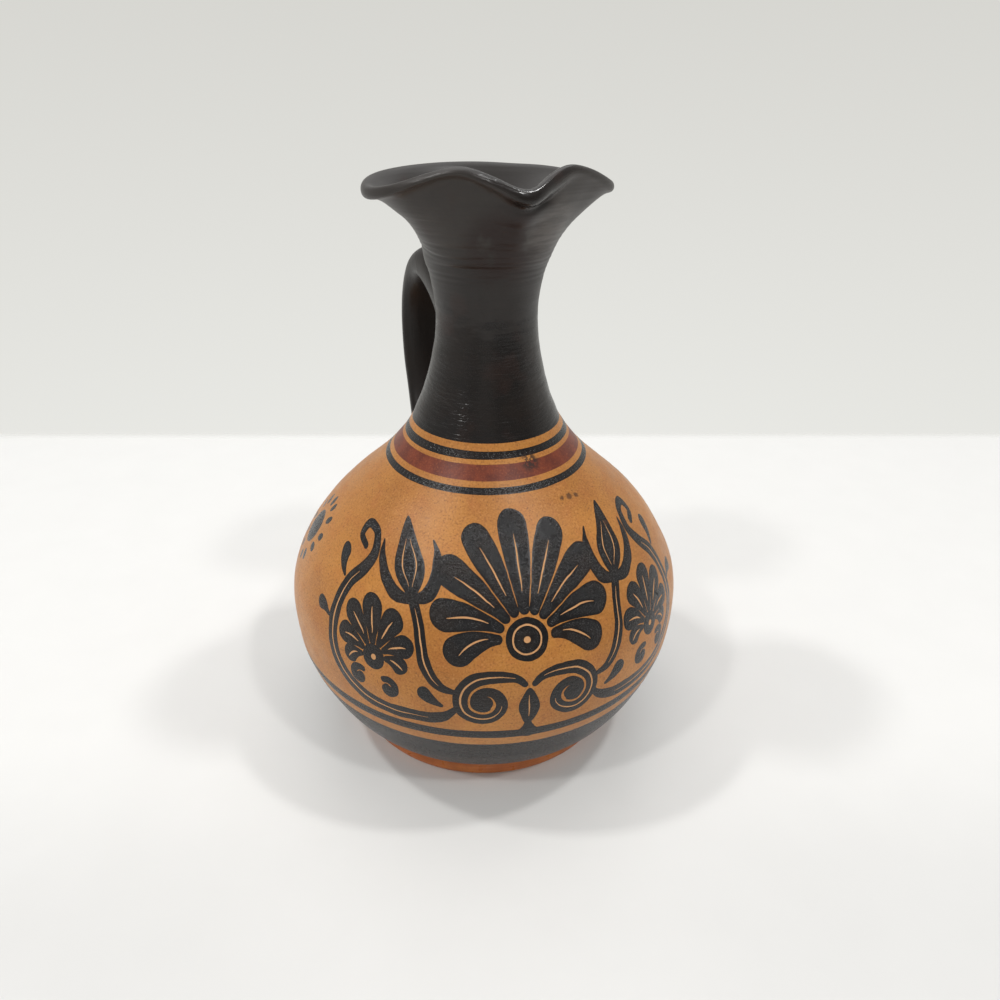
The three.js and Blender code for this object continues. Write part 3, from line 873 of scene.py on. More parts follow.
def slip_parts(k, worn, shine):
    """Colour, roughness and bump height of the black slip."""
    cloud = k.noise(9.0, 3.0, 0.6, 31)
    streak = k.rings(0.45, 7.0, 3.0, 32, 0.5)
    band = k.noise(5.0, 3.0, 0.65, 33)
    grain = k.noise(0.52, 2.0, 0.7, 34)
    fine = k.noise(0.24, 1.0, 0.5, 35)
    c = k.mix(k.span(cloud, 0.35, 0.68), SLIP_BLUE, SLIP_BROWN)
    thin = k.math("MULTIPLY", k.span(streak, 0.45, 0.75), k.span(band, 0.50, 0.70), clamp=True)
    c = k.mix(k.math("MULTIPLY", thin, 0.12 + worn), c, SLIP_THIN)
    # tiny pale dust grains and pinholes
    dust = k.math("MULTIPLY", k.span(k.voronoi(2.3, 36), 0.050, 0.030), k.span(k.noise(6.0, 1.0, 0.5, 37), 0.50, 0.62))
    c = k.mix(k.math("MULTIPLY", dust, 0.55), c, lin(120, 108, 100))
    rough = k.span(k.math("ADD", k.math("MULTIPLY", grain, 0.5), k.math("MULTIPLY", cloud, 0.5)), 0.32, 0.68, *shine)
    height = k.math("ADD", k.math("MULTIPLY", grain, 1.0), k.math("ADD", k.math("MULTIPLY", fine, 0.30), k.math("MULTIPLY", streak, 0.35)))
    return c, rough, height


CLAY_LOW, CLAY_HIGH = lin(172, 111, 47), lin(188, 125, 55)
CLAY_RED, CLAY_PALE, CLAY_DARK = lin(176, 102, 50), lin(206, 148, 84), lin(126, 76, 36)
SLIP_BLUE, SLIP_BROWN, SLIP_THIN = lin(15, 14, 16), lin(27, 18, 14), lin(64, 36, 24)


def body_material():
    k = Look("painted_clay")
    cc, cr, ch = clay_parts(k)
    sc, sr, sh = slip_parts(k, 0.0, (0.19, 0.33))
    R, G, B = k.rgb("paint")
    # maroon band with clay grain showing through
    mg = k.noise(0.40, 3.0, 0.65, 41)
    mc = k.mix(k.span(k.noise(4.0, 3.0, 0.6, 42), 0.38, 0.64), lin(102, 41, 22), lin(122, 53, 28))
    mc = k.mix(k.span(mg, 0.52, 0.68, 0.0, 0.50), mc, lin(154, 82, 44))
    mc = k.mix(k.span(mg, 0.30, 0.44, 0.55, 0.0), mc, lin(70, 28, 20))
    # scratched lines: bare clay, a little paler, rough
    ic = k.mix(k.noise(0.8, 2.0, 0.6, 43), lin(196, 140, 88), lin(214, 164, 116))
    c = k.mix(R, cc, sc)
    c = k.mix(G, c, mc)
    c = k.mix(B, c, ic)
    # a smudge of slip over the bands to the right of the spout
    sm = k.math("MULTIPLY", k.span(k.noise(1.1, 3.0, 0.6, 45), 0.44, 0.53),
                k.span(k.vmath_len((3.2, -22.1, 85.4)), 3.3, 1.5))
    c = k.mix(k.math("MULTIPLY", sm, 0.88), c, lin(44, 27, 20))
    # and a few stray specks below it
    for at, size in (((9.3, -28.0, 77.3), 0.55), ((10.6, -27.6, 77.5), 0.30), ((11.6, -27.3, 77.0), 0.60), ((13.1, -26.8, 77.2), 0.40),
                     ((13.9, -26.7, 76.7), 0.50), ((-20.5, -23.5, 74.0), 0.42), ((19.5, -31.0, 69.5), 0.45)):
        d = k.math("ADD", k.vmath_len(at), k.math("MULTIPLY", k.noise(0.6, 2.0, 0.6, 46), 0.8))
        c = k.mix(k.span(d, size + 0.95, size + 0.60, 0.0, 0.78), c, lin(70, 42, 24))
    k.put(k.b.inputs["Base Color"], c)
    r = k.fmix(R, cr, sr)
    r = k.fmix(G, r, 0.40)
    r = k.fmix(B, r, 0.72)
    k.put(k.b.inputs["Roughness"], r)
    n = k.bump(ch, 0.026)
    # each shape's outer contour was drawn first, with a loaded brush, and lies smoother than the filling
    fill = k.span(k.attr("edge").outputs["Fac"], 0.10, 0.75, 0.25, 1.0)
    n2 = k.bump(k.math("MULTIPLY", k.math("SUBTRACT", sh, 0.82), k.math("MULTIPLY", R, fill)), 0.26, n)
    k.put(k.b.inputs["Normal"], n2)
    k.b.inputs["IOR"].default_value = 1.50
    k.b.inputs["Specular IOR Level"].default_value = 0.42
    return k.m


def _vmath_len(self, c):
    n = self.t.nodes.new("ShaderNodeVectorMath")
    n.operation = "DISTANCE"
    self.put(n.inputs[0], self.p)
    n.inputs[1].default_value = c
    return n.outputs["Value"]


Look.vmath_len = _vmath_len


def slip_material(name, strap=False):
    k = Look(name)
    sc, sr, sh = slip_parts(k, 0.10, (0.24, 0.34))
    sc = k.mix(0.5, sc, lin(28, 22, 18))
    cc, cr, ch = clay_parts(k)
    bare = k.attr("bare").outputs["Fac"]
    dry = k.attr("dry").outputs["Fac"]
    # a dry grey bloom on the mouth and the upper neck, ending in brush streaks half way down
    if strap:
        along_ = k.noise(1.3, 3.0, 0.6, 56, k.vmath("MULTIPLY", k.p, (1.0, 0.5, 0.10)))
        height = k.math("ADD", k.z, k.math("MULTIPLY", k.math("SUBTRACT", along_, 0.5), 44.0))
        bloom = k.span(height, 112.0, 127.0, 0.0, 0.85)
    else:
        height = k.math("ADD", k.z, k.math("MULTIPLY", k.math("SUBTRACT", k.rings(1.5, 15.0, 3.0, 56), 0.5), 36.0))
        bloom = k.math("MULTIPLY", k.span(height, 112.5, 120.5), k.span(k.noise(8.0, 3.0, 0.6, 57), 0.25, 0.70, 0.70, 1.0))
    dip = k.vmath_len((2.5, -22.0, 145.5))
    lip = k.math("MULTIPLY", k.attr("lip").outputs["Fac"], k.span(dip, 19.0, 8.5, 0.12, 1.0))
    glossy = k.math("MAXIMUM", k.span(dip, 10.0, 4.0), lip)
    matt = k.math("MULTIPLY", k.math("MAXIMUM", bloom, dry), k.math("SUBTRACT", 1.0, k.math("MULTIPLY", glossy, 0.85)))
    sc = k.mix(k.math("MULTIPLY", matt, 0.72), sc, lin(46, 42, 40))
    # lighter on the flare: partly a matt bloom, partly painted light from the bright table it faces
    flare = k.math("MULTIPLY", k.span(k.z, 129.0, 134.5), k.math("SUBTRACT", 1.0, dry))
    sc = k.mix(k.math("MULTIPLY", k.math("MULTIPLY", flare, matt), 0.45), sc, lin(68, 63, 59))
    # painted reflection: a pale streaked patch on the right of the flare, where it faces the bright floor
    pale = k.math("MULTIPLY", k.span(k.vmath_len((9.0, -15.5, 136.5)), 10.0, 3.5), k.span(k.rings(1.1, 12.0, 2.0, 60), 0.30, 0.62, 0.45, 1.0))
    sc = k.mix(k.math("MULTIPLY", k.math("MULTIPLY", pale, matt), 0.80), sc, lin(96, 90, 86))
    sc = k.mix(k.math("MULTIPLY", dry, 0.25), sc, lin(60, 57, 54))
    # brush marks where the slip stops inside the neck
    b = k.span(k.math("ADD", bare, k.math("MULTIPLY", k.math("SUBTRACT", k.noise(3.0, 3.0, 0.6, 51), 0.5), 0.5)), 0.45, 0.55)
    # a painted dark reddish reflection, in a few soft patches under the spout
    painted_dark_reflection = k.math("MULTIPLY", k.span(k.noise(6.0, 3.0, 0.6, 52), 0.24, 0.46), k.span(k.vmath_len((-2.0, -17.5, 133.5)), 12.0, 5.0))
    painted_dark_reflection = k.math("MULTIPLY", painted_dark_reflection, k.math("SUBTRACT", 1.0, k.math("MULTIPLY", pale, 0.9)))
    sc = k.mix(k.math("MULTIPLY", painted_dark_reflection, 0.92), sc, lin(35, 20, 16))
    if not strap:
        sc = k.mix(k.math("MULTIPLY", k.span(k.noise(9.0, 2.0, 0.5, 58), 0.55, 0.70), 0.30), sc, lin(52, 32, 26))
    k.put(k.b.inputs["Base Color"], k.mix(b, sc, cc))
    wet = k.span(k.vmath_len((-11.8, -11.2, 96.0)), 9.0, 3.0)     # where the lower neck shines on the left
    rough = k.fmix(lip, k.fmix(matt, k.fmix(wet, sr, 0.25), 0.42), 0.18)
    k.put(k.b.inputs["Roughness"], k.fmix(b, rough, cr))
    grainy = k.math("MULTIPLY", sh, k.fmix(lip, k.fmix(matt, 0.80, 0.30), 0.30))
    if strap:
        drawn = k.math("MULTIPLY", k.noise(0.9, 3.0, 0.6, 54, k.vmath("MULTIPLY", k.p, (1.0, 0.4, 0.08))), 1.6)
        n = k.bump(k.math("ADD", grainy, drawn), 0.032)
    else:
        turned = k.rings(0.42, 30.0, 3.0, 54)
        low = k.span(k.z, 118.0, 106.0)
        wrinkle = k.math("MULTIPLY", k.rings(0.75, 7.0, 2.0, 59), k.math("ADD", k.math("MULTIPLY", low, 4.2), k.math("MULTIPLY", wet, 6.0)))
        thrown = k.math("MULTIPLY", k.rings(1.15, 90.0, 1.0, 55), k.span(k.z, 116.0, 128.0, 0.35, 1.0))
        n = k.bump(k.math("ADD", k.math("ADD", grainy, wrinkle), k.math("ADD", k.math("MULTIPLY", turned, 0.8), k.math("MULTIPLY", thrown, 3.4))), 0.032)
    k.put(k.b.inputs["Normal"], n)
    k.b.inputs["IOR"].default_value = 1.50
    k.b.inputs["Specular IOR Level"].default_value = 0.28 if strap else 0.35
    return k.m


def foot_material():
    k = Look("foot_wash")
    ring = k.rings(0.8, 14.0, 3.0, 61)
    cloud = k.noise(5.0, 3.0, 0.6, 62)
    c = k.mix(k.span(ring, 0.36, 0.66), lin(186, 102, 52), lin(208, 125, 64))
    c = k.mix(k.span(cloud, 0.45, 0.70, 0.0, 0.4), c, lin(150, 80, 42))
    worn = k.math("MULTIPLY", k.span(k.z, 0.5, 0.1), k.span(k.noise(1.2, 3.0, 0.6, 63), 0.35, 0.55))
    inside = k.span(k.vmath_len2(), 35.0, 34.2)
    bare = k.math("MAXIMUM", worn, inside)
    cc, cr, ch = clay_parts(k)
    k.put(k.b.inputs["Base Color"], k.mix(bare, c, cc))
    k.put(k.b.inputs["Roughness"], k.fmix(bare, k.span(cloud, 0.3, 0.7, 0.26, 0.38), cr))
    k.put(k.b.inputs["Normal"], k.bump(k.math("ADD", ring, k.math("MULTIPLY", k.noise(0.7, 2.0, 0.5, 64), 0.4)), 0.025))
    k.b.inputs["IOR"].default_value = 1.50
    k.b.inputs["Specular IOR Level"].default_value = 0.42
    return k.m


def _len2(self):
    n = self.t.nodes.new("ShaderNodeVectorMath")
    n.operation = "LENGTH"
    self.put(n.inputs[0], self.xyz(self.x, self.y, 0.0))
    return n.outputs["Value"]


Look.vmath_len2 = _len2

MAT_BODY, MAT_SLIP, MAT_STRAP, MAT_FOOT = body_material(), slip_material("black_slip"), slip_material("black_slip_strap", True), foot_material()

edge_all = np.full(len(V), 3.0)
edge_all[:o1] = np.minimum(edge2, 3.0)
body = write_mesh("bulb", V, faces, MAT_BODY, "body", normals=N, corner={"paint": corner_paint}, point={"edge": edge_all},
                  flat=flat_faces, own=(np.nonzero(kind2 == CUT)[0].tolist(), n_cut))


# ------------------------------------------------------------------ neck and mouth, one thrown wall in two pieces
def table(rows, col):
    x = np.array([r[0] for r in rows], float)
    y = np.array([r[col] for r in rows], float)
    xe = np.r_[x[-2:] - 360, x, x[:2] + 360]
    ye = np.r_[y[-2:], y, y[:2]]

    def at(deg):
        d = (np.asarray(deg, float) - x[0]) % 360 + x[0]
        i = np.clip(np.searchsorted(xe, d, "right") - 1, 1, len(xe) - 3)
        h = xe[i + 1] - xe[i]
        t = (d - xe[i]) / h
        m1 = (ye[i + 1] - ye[i - 1]) / (xe[i + 1] - xe[i - 1]) * h
        m2 = (ye[i + 2] - ye[i]) / (xe[i + 2] - xe[i]) * h
        return ((2 * t ** 3 - 3 * t ** 2 + 1) * ye[i] + (t ** 3 - 2 * t ** 2 + t) * m1
                + (3 * t ** 2 - 2 * t ** 3) * ye[i + 1] + (t ** 3 - t ** 2) * m2)
    return at


NC = 256
col_phi = -PI + 2 * PI * np.arange(NC) / NC
col_deg = np.degrees(col_phi)


def round_smooth(v, sigma_deg):
    """Gaussian smoothing round the wheel axis."""
    k = np.arange(NC)
    d = np.minimum(k, NC - k) * 360.0 / NC
    w = np.exp(-0.5 * (d / sigma_deg) ** 2)
    return np.real(np.fft.ifft(np.fft.fft(v) * np.fft.fft(w / w.sum())))


cr = round_smooth(table(CREST, 1)(col_deg), 3.0)
cz = round_smooth(table(CREST, 2)(col_deg), 3.0)
sl = np.radians(round_smooth(table(FLARE, 1)(col_deg), 4.0))
rc = round_smooth(table(FLARE, 2)(col_deg), 4.0)
ri = round_smooth(table(FLARE, 3)(col_deg), 4.0)
le = np.radians(round_smooth(table(FLARE, 4)(col_deg), 4.0))
COLLAR_MID = NECK[-1][0] - WALL * 0.515


def mouth_row(t, below, off):
    p0 = np.stack([np.full(NC, COLLAR_MID), np.full(NC, COLLAR_Z)], 1)
    p3 = np.stack([cr, cz], 1)
    p1 = p0 + ri[:, None] * np.stack([np.sin(le), np.cos(le)], 1)
    p2 = p3 - rc[:, None] * np.stack([np.cos(sl), np.sin(sl)], 1)
    u = 1 - t
    q = u ** 3 * p0 + 3 * u * u * t * p1 + 3 * u * t * t * p2 + t ** 3 * p3
    e = 3 * u * u * (p1 - p0) + 6 * u * t * (p2 - p1) + 3 * t * t * (p3 - p2)
    e /= np.linalg.norm(e, axis=1)[:, None]
    half = WALL * 0.515 + (LIP_WALL / 2 - WALL * 0.515) * min(1, t * 1.6)
    o = half if isinstance(off, str) and off == "o" else -half if isinstance(off, str) else off
    if t == 0:
        return np.stack([np.full(NC, COLLAR_MID + o), np.full(NC, COLLAR_Z)], 1)
    return np.stack([q[:, 0] + o * e[:, 1] - below * e[:, 0], q[:, 1] - o * e[:, 0] - below * e[:, 1]], 1)


ctrl = [np.tile(p, (NC, 1)) for p in BULB[-5:]]
k_shoulder = len(ctrl) - 1
ctrl += [np.tile(p, (NC, 1)) for p in NECK[1:-1]]
k_split_out = len(ctrl)
th = round_smooth(table(ROLL, 1)(col_deg), 5.0)
bu = round_smooth(table(ROLL, 2)(col_deg), 5.0)
LIP = [(0.0, 0, "o"), (0.12, 0, "o"), (0.26, 0, "o"), (0.41, 0, "o"), (0.56, 0, "o"), (0.69, 0, "o"),
       (1, th * 1.16 + 0.35, 1.25 + bu * 0.02), (1, th * 0.90 + 0.2, 1.22 + bu * 0.62), (1, th * 0.56 + 0.1, 1.16 + bu),
       (1, th * 0.22 + 0.12, 0.98 + bu * 0.72), (1, 0.10, 0.55), (1, 0.02, -0.05), (1, 0.40, -0.78), (1, 1.25, -1.18),
       (1, 2.5, -1.27), (0.8, 0, "i"), (0.64, 0, "i"), (0.48, 0, "i"), (0.32, 0, "i"), (0.16, 0, "i"), (0.0, 0, "i")]
ctrl += [mouth_row(*r) for r in LIP]
k_split_in = len(ctrl) - 1
neck_in = []
for (r, z) in NECK[1:-1][::-1]:
    s = s_at(z)
    nr, nz = mer_normal(s)
    neck_in.append([r - WALL * nr, z - WALL * nz])
ctrl += [np.tile(p, (NC, 1)) for p in neck_in]
ctrl.append(np.tile([NECK[0][0] - WALL * 1.05, SHOULDER_Z], (NC, 1)))
ctrl = np.array(ctrl)
steps = np.linalg.norm(np.diff(ctrl, axis=0), axis=2).mean(1)
knots = np.r_[0, np.cumsum(steps)]
wall, wall_t = spline(ctrl, 0.34, knots)


def row_of(k):
    return int(np.argmin(np.abs(wall_t - knots[k])))


i_sh, i_so, i_si = row_of(k_shoulder), row_of(k_split_out), row_of(k_split_in)
wall, wall_t = wall[i_sh:], wall_t[i_sh:] - wall_t[i_sh]
i_so, i_si = i_so - i_sh, i_si - i_sh
PH = np.broadcast_to(col_phi, wall.shape[:2])
G = np.stack([wall[..., 0] * np.sin(PH), -wall[..., 0] * np.cos(PH), wall[..., 1]], -1)
Gn = grid_normals(G)

# what the wheel and the hand left on it, along the normal
rows_n = len(wall)
flat_phi = np.repeat(col_phi[None], rows_n, 0).ravel()
tt = np.repeat(wall_t[:, None], NC, 1).ravel()
q = round_pos(flat_phi, np.full(len(tt), 30.0), tt)
lumps = noise(q, (30, 30, 20), 71) * 0.16 + noise(q, (26, 26, 3.0), 72) * 0.045 + noise(q, (24, 24, 1.5), 73) * 0.022
t_split = wall_t[i_so]
grooves = 0 * tt
# turned ridges under the flare: place along the wall from the collar, depth, width
for pos, depth, width in ((-3.2, 0.06, 0.42), (-1.8, 0.10, 0.40), (-0.5, 0.09, 0.38), (0.7, 0.19, 0.40), (1.8, 0.14, 0.36),
                          (2.9, 0.21, 0.40), (4.1, 0.13, 0.36), (5.3, 0.19, 0.40), (6.5, 0.11, 0.38), (7.9, 0.09, 0.40),
                          (9.4, 0.06, 0.45), (11.2, 0.05, 0.5)):
    w = noise(q, (40, 40, 300), 80 + int(pos * 10) % 19) * 0.35
    m = 0.55 + 0.45 * noise(q, (22, 22, 300), 120 + int(pos * 10) % 23)
    grooves -= depth * np.clip(m, 0.1, 1) * np.exp(-((tt - t_split - pos - w) / width) ** 2)
lumps = (lumps + grooves).reshape(rows_n, NC)
fade = sstep(0, 3.0, wall_t)[:, None] * np.ones((1, NC))
inside_rows = wall_t > wall_t[i_so] + 0.5 * (wall_t[i_si] - wall_t[i_so])
lumps = np.where(inside_rows[:, None], lumps * 0.6, lumps) * fade
lumps[-1] = 0
G = G + Gn * lumps[..., None]
Gn = grid_normals(G)
ideal_top = np.array(mer_normal(S_TOP))
k = sstep(1.6, 0.0, wall_t)[:, None, None]
Gn = Gn * (1 - k) + np.stack([ideal_top[0] * np.sin(PH), -ideal_top[0] * np.cos(PH), np.full(PH.shape, ideal_top[1])], -1) * k
Gn /= np.linalg.norm(Gn, axis=2)[:, :, None]
bare_rows = np.where(inside_rows, sstep(112.0, 104.0, wall[:, 0, 1]), 0.0)
t_crest = knots[k_split_out + 11] - knots[k_shoulder]
dry_rows = sstep(0.0, 3.0, wall_t - t_crest)
lip_rows = np.where(wall_t < t_crest, sstep(2.3, 1.2, t_crest - wall_t), sstep(3.2, 1.6, wall_t - t_crest))


def wall_piece(name, rows, node):
    """A closed tube from the given rows of the wall: up the outside and down the inside."""
    Vp = G[rows].reshape(-1, 3)
    Np = Gn[rows].reshape(-1, 3)
    ids = [k * NC + np.arange(NC) for k in range(len(rows))]
    F, flat = [], []
    for j in range(len(rows) - 1):
        qd = strip(ids[j], ids[j + 1])
        if rows[j + 1] != rows[j] + 1:
            flat += list(range(len(F), len(F) + NC))
        F += qd
    flat += list(range(len(F), len(F) + NC))
    F += strip(ids[-1], ids[0])
    return write_mesh(name, Vp, F, MAT_SLIP, node, normals=Np, flat=flat,
                      point={"bare": np.repeat(bare_rows[rows], NC), "dry": np.repeat(dry_rows[rows], NC),
                             "lip": np.repeat(lip_rows[rows], NC)})


neck = wall_piece("neck_tube", list(range(0, i_so + 1)) + list(range(i_si, rows_n)), "neck")
mouth = wall_piece("mouth_trefoil", list(range(i_so, i_si + 1)), "mouth")

# ------------------------------------------------------------------ handle, smoothed into the pot at both roots
NS = 72
line, line_t = spline(STRAP, 0.5)
ctrl_t = np.r_[0, np.cumsum(np.linalg.norm(np.diff(np.array(STRAP), axis=0), axis=1))]
wv = spline(np.array(STRAP_W)[:, None], 0.5, ctrl_t)[0][:, 0]
hv = spline(np.array(STRAP_T)[:, None], 0.5, ctrl_t)[0][:, 0]
tan = np.gradient(line, axis=0)
tan /= np.linalg.norm(tan, axis=1)[:, None]
th = 2 * PI * np.arange(NS) / NS
cx, sx = np.cos(th), np.sin(th)
ex = 2 / 2.4
sxn = np.sign(cx) * np.abs(cx) ** ex
szn = np.sign(sx) * np.abs(sx) ** ex
S = np.zeros((len(line), NS, 3))
for i in range(len(line)):
    t = line_t[i] / line_t[-1]
    # outer face: a broad shallow channel between two soft edges, as a pulled strap has
    dish = 0.10 * hv[i] * np.exp(-(sxn / 0.42) ** 2) * (szn > 0) * sstep(0.12, 0.3, t) * sstep(0.95, 0.7, t)
    h = hv[i] / 2 * szn - dish
    w = wv[i] / 2 * sxn
    S[i, :, 0] = -w
    S[i, :, 1] = line[i, 0] - h * tan[i, 1]
    S[i, :, 2] = line[i, 1] + h * tan[i, 0]
dist = pot_distance(S.reshape(-1, 3))[0].reshape(len(line), NS)
FIL_A, FIL_B = 2.0, 1.9


def crossing(level, from_start):
    """For each line along the strap: the fractional step where it is that far outside the pot."""
    out = np.zeros(NS)
    for j in range(NS):
        d = dist[:, j]
        mid = int(np.argmax(d))
        if from_start:
            i = mid
            while i > 0 and d[i - 1] > level:
                i -= 1
            out[j] = i - 1 + (level - d[i - 1]) / (d[i] - d[i - 1]) if i > 0 else 0
        else:
            i = mid
            while i < len(d) - 1 and d[i + 1] > level:
                i += 1
            out[j] = i + (d[i] - level) / (d[i] - d[i + 1]) if i < len(d) - 1 else len(d) - 1
    return out


def at_step(f):
    i = np.clip(np.floor(f).astype(int), 0, len(line) - 2)
    t = (f - i)[:, None]
    return S[i, np.arange(NS)] * (1 - t) + S[i + 1, np.arange(NS)] * t


def root(from_start, fil):
    """Rings from the strap down onto the pot's surface: (k, NS, 3)."""
    fa, f0 = crossing(fil, from_start), crossing(0.0, from_start)
    A, B0 = at_step(fa), at_step(f0)
    ahead = at_step(fa + (1.5 if from_start else -1.5))
    TA = A - ahead
    TA /= np.linalg.norm(TA, axis=1)[:, None]
    base, n = to_pot(B0)
    cen = base.mean(0)
    out = base - cen
    # away from the root's middle, across the surface
    out -= n * np.einsum("ij,ij->i", out, n)[:, None]
    edge_dir = np.roll(base, -1, 0) - np.roll(base, 1, 0)
    perp = np.cross(edge_dir, n)
    perp *= np.sign(np.einsum("ij,ij->i", perp, out))[:, None]
    perp /= np.maximum(np.linalg.norm(perp, axis=1), 1e-9)[:, None]
    B, nB = to_pot(base + perp * fil)
    rings = []
    for t in np.linspace(0, 1, 9)[1:]:
        c1, c2 = A + TA * fil * 0.62, B - perp * fil * 0.62
        rings.append((1 - t) ** 3 * A + 3 * (1 - t) ** 2 * t * c1 + 3 * (1 - t) * t * t * c2 + t ** 3 * B)
    skirt, ns = to_pot(B + perp * 0.5)
    rings[-1] = B + nB * 0.02
    rings.append(skirt - ns * 0.30)
    return fa, np.array(rings), cen - n.mean(0) * 1.2


fa0, ringsA, cenA = root(True, FIL_A)
fa1, ringsB, cenB = root(False, FIL_B)
nm = 96
body_rows = np.array([at_step(fa0 + (fa1 - fa0) * k / (nm - 1)) for k in range(nm)])
H = np.concatenate([ringsA[::-1], body_rows, ringsB], 0)
qq = H.reshape(-1, 3)
hn = np.cross(np.roll(H, -1, 1) - np.roll(H, 1, 1), np.gradient(H, axis=0))
hn /= np.maximum(np.linalg.norm(hn, axis=2), 1e-12)[:, :, None]
cm = H.mean(1, keepdims=True)
if np.einsum("ijk,ijk->", hn, H - cm) < 0:
    hn = -hn
wob = (noise(qq, (9, 9, 14), 91) * 0.16 + noise(qq, (2.4, 9, 12), 92) * 0.05).reshape(H.shape[:2])
ramp_h = np.ones(len(H))
ramp_h[:11] = np.linspace(0, 1, 11)
ramp_h[-11:] = np.linspace(1, 0, 11)
H = H + hn * (wob * ramp_h[:, None])[..., None]
Hc = np.vstack([H.reshape(-1, 3), cenA[None], cenB[None]])
ids = [k * NS + np.arange(NS) for k in range(len(H))]
F = []
for a, b in zip(ids[:-1], ids[1:]):
    F += strip(a, b)
nA, nB = len(Hc) - 2, len(Hc) - 1
F += [[ids[0][(i + 1) % NS], ids[0][i], nA] for i in range(NS)]
F += [[ids[-1][i], ids[-1][(i + 1) % NS], nB] for i in range(NS)]
tri = np.array([[f[0], f[1], f[2]] for f in F] + [[f[0], f[2], f[3]] for f in F if len(f) == 4])
vol = np.einsum("ij,ij->i", Hc[tri[:, 0]], np.cross(Hc[tri[:, 1]], Hc[tri[:, 2]])).sum()
if vol < 0:
    F = [f[::-1] for f in F]
    tri = tri[:, ::-1]
strap_n = tri_normals(Hc, tri)
for i in (0, 1, len(H) - 2, len(H) - 1):       # the smoothed-on edges take the pot's own surface direction
    strap_n[ids[i]] = to_pot(Hc[ids[i]])[1]
handle = write_mesh("strap_handle", Hc, F, MAT_STRAP, "handle", normals=strap_n,
                    point={"bare": np.zeros(len(Hc)), "dry": np.r_[np.tile(sstep(-0.3, -0.8, szn) * 0.62, len(H)), 0, 0],
                           "lip": np.zeros(len(Hc))})

# ------------------------------------------------------------------ foot ring
NF = 192
fp = -PI + 2 * PI * np.arange(NF) / NF
prof = np.array([
    [34.2, 0.0], [36.0, 0.0], [37.5, 0.0], [38.05, 0.12], [38.38, 0.45], [38.52, 1.1], [38.56, 1.9], [38.52, 2.8], [38.46, 3.6],
    [38.4, 4.3], [38.34, 4.8], [38.3, 5.0], [36.4, 5.0], [33.9, 5.0], [33.45, 4.7], [33.3, 4.0], [33.3, 2.4], [33.4, 1.0],
    [33.65, 0.35]])
rows_f = []
n_prof = len(prof)
fine_prof = []
for i in range(n_prof):
    a, b = prof[i], prof[(i + 1) % n_prof]
    k = max(1, int(math.ceil(np.linalg.norm(b - a) / 0.45)))
    if i in (11, 12):
        k = 2
    fine_prof += [a + (b - a) * j / k for j in range(k)]
fine_prof = np.array(fine_prof)
for r, z in fine_prof:
    qf = round_pos(fp, np.full(NF, r), np.full(NF, z))
    d = (noise(qf, (16, 16, 1.3), 95) * 0.05 + noise(qf, (14, 14, 6), 96) * 0.07) * (1 if 0.3 < z < 4.9 else 0)
    rows_f.append(round_pos(fp, np.full(NF, r) + d * (1 if r > 36 else -1), np.full(NF, z)))
GF = np.array(rows_f)
VF = GF.reshape(-1, 3)
FF = []
idf = [k * NF + np.arange(NF) for k in range(len(GF))]
for k in range(len(GF)):
    FF += strip(idf[k], idf[(k + 1) % len(GF)])
dv = np.roll(GF, -1, 0) - np.roll(GF, 1, 0)
du = np.roll(GF, -1, 1) - np.roll(GF, 1, 1)
NFm = np.cross(du, dv)
NFm /= np.linalg.norm(NFm, axis=2)[:, :, None]
foot = write_mesh("foot_ring", VF, FF, MAT_FOOT, "foot", normals=NFm.reshape(-1, 3))

# ------------------------------------------------------------------ floor, world and lights
a, b = on_floor(125.0, 432.0), on_floor(875.0, 432.0)
along = (b - a).normalized()
mid_edge = (a + b) / 2
away = Vector((-along.y, along.x, 0))
if away.dot(fwd) < 0:
    away = -away
nx, ny = 40, 40
fv, ff = [], []
for j in range(ny + 1):
    for i in range(nx + 1):
        u = (i / nx - 0.5) * 3.0
        w = -2.2 * (j / ny) ** 1.5
        fv.append((u, w, 0.0))
for j in range(ny):
    for i in range(nx):
        p = j * (nx + 1) + i
        ff.append((p, p + nx + 1, p + nx + 2, p + 1))
fm = bpy.data.meshes.new("table_top")
fm.from_pydata(fv, [], ff)
table_top = link(bpy.data.objects.new("table_top", fm))
table_top.matrix_world = Matrix(((along.x, away.x, 0, mid_edge.x), (along.y, away.y, 0, mid_edge.y), (0, 0, 1, 0), (0, 0, 0, 1)))
tm = bpy.data.materials.new("table_white")
tm.use_nodes = True
t = tm.node_tree
bs = t.nodes["Principled BSDF"]
tc = t.nodes.new("ShaderNodeTexCoord")
nz_ = t.nodes.new("ShaderNodeTexNoise")
nz_.inputs["Scale"].default_value = 60.0
nz_.inputs["Detail"].default_value = 3.0
t.links.new(tc.outputs["Object"], nz_.inputs["Vector"])
rp = t.nodes.new("ShaderNodeValToRGB")
rp.color_ramp.elements[0].color = (0.80, 0.795, 0.78, 1)
rp.color_ramp.elements[1].color = (0.83, 0.825, 0.81, 1)
t.links.new(nz_.outputs["Fac"], rp.inputs[0])
# painted shade: the paper darkens towards the camera, as the light falls off
near = t.nodes.new("ShaderNodeMapRange")
near.interpolation_type = "SMOOTHSTEP"
near.inputs[1].default_value, near.inputs[2].default_value = -0.215, -0.280
near.inputs[3].default_value, near.inputs[4].default_value = 1.0, 0.875
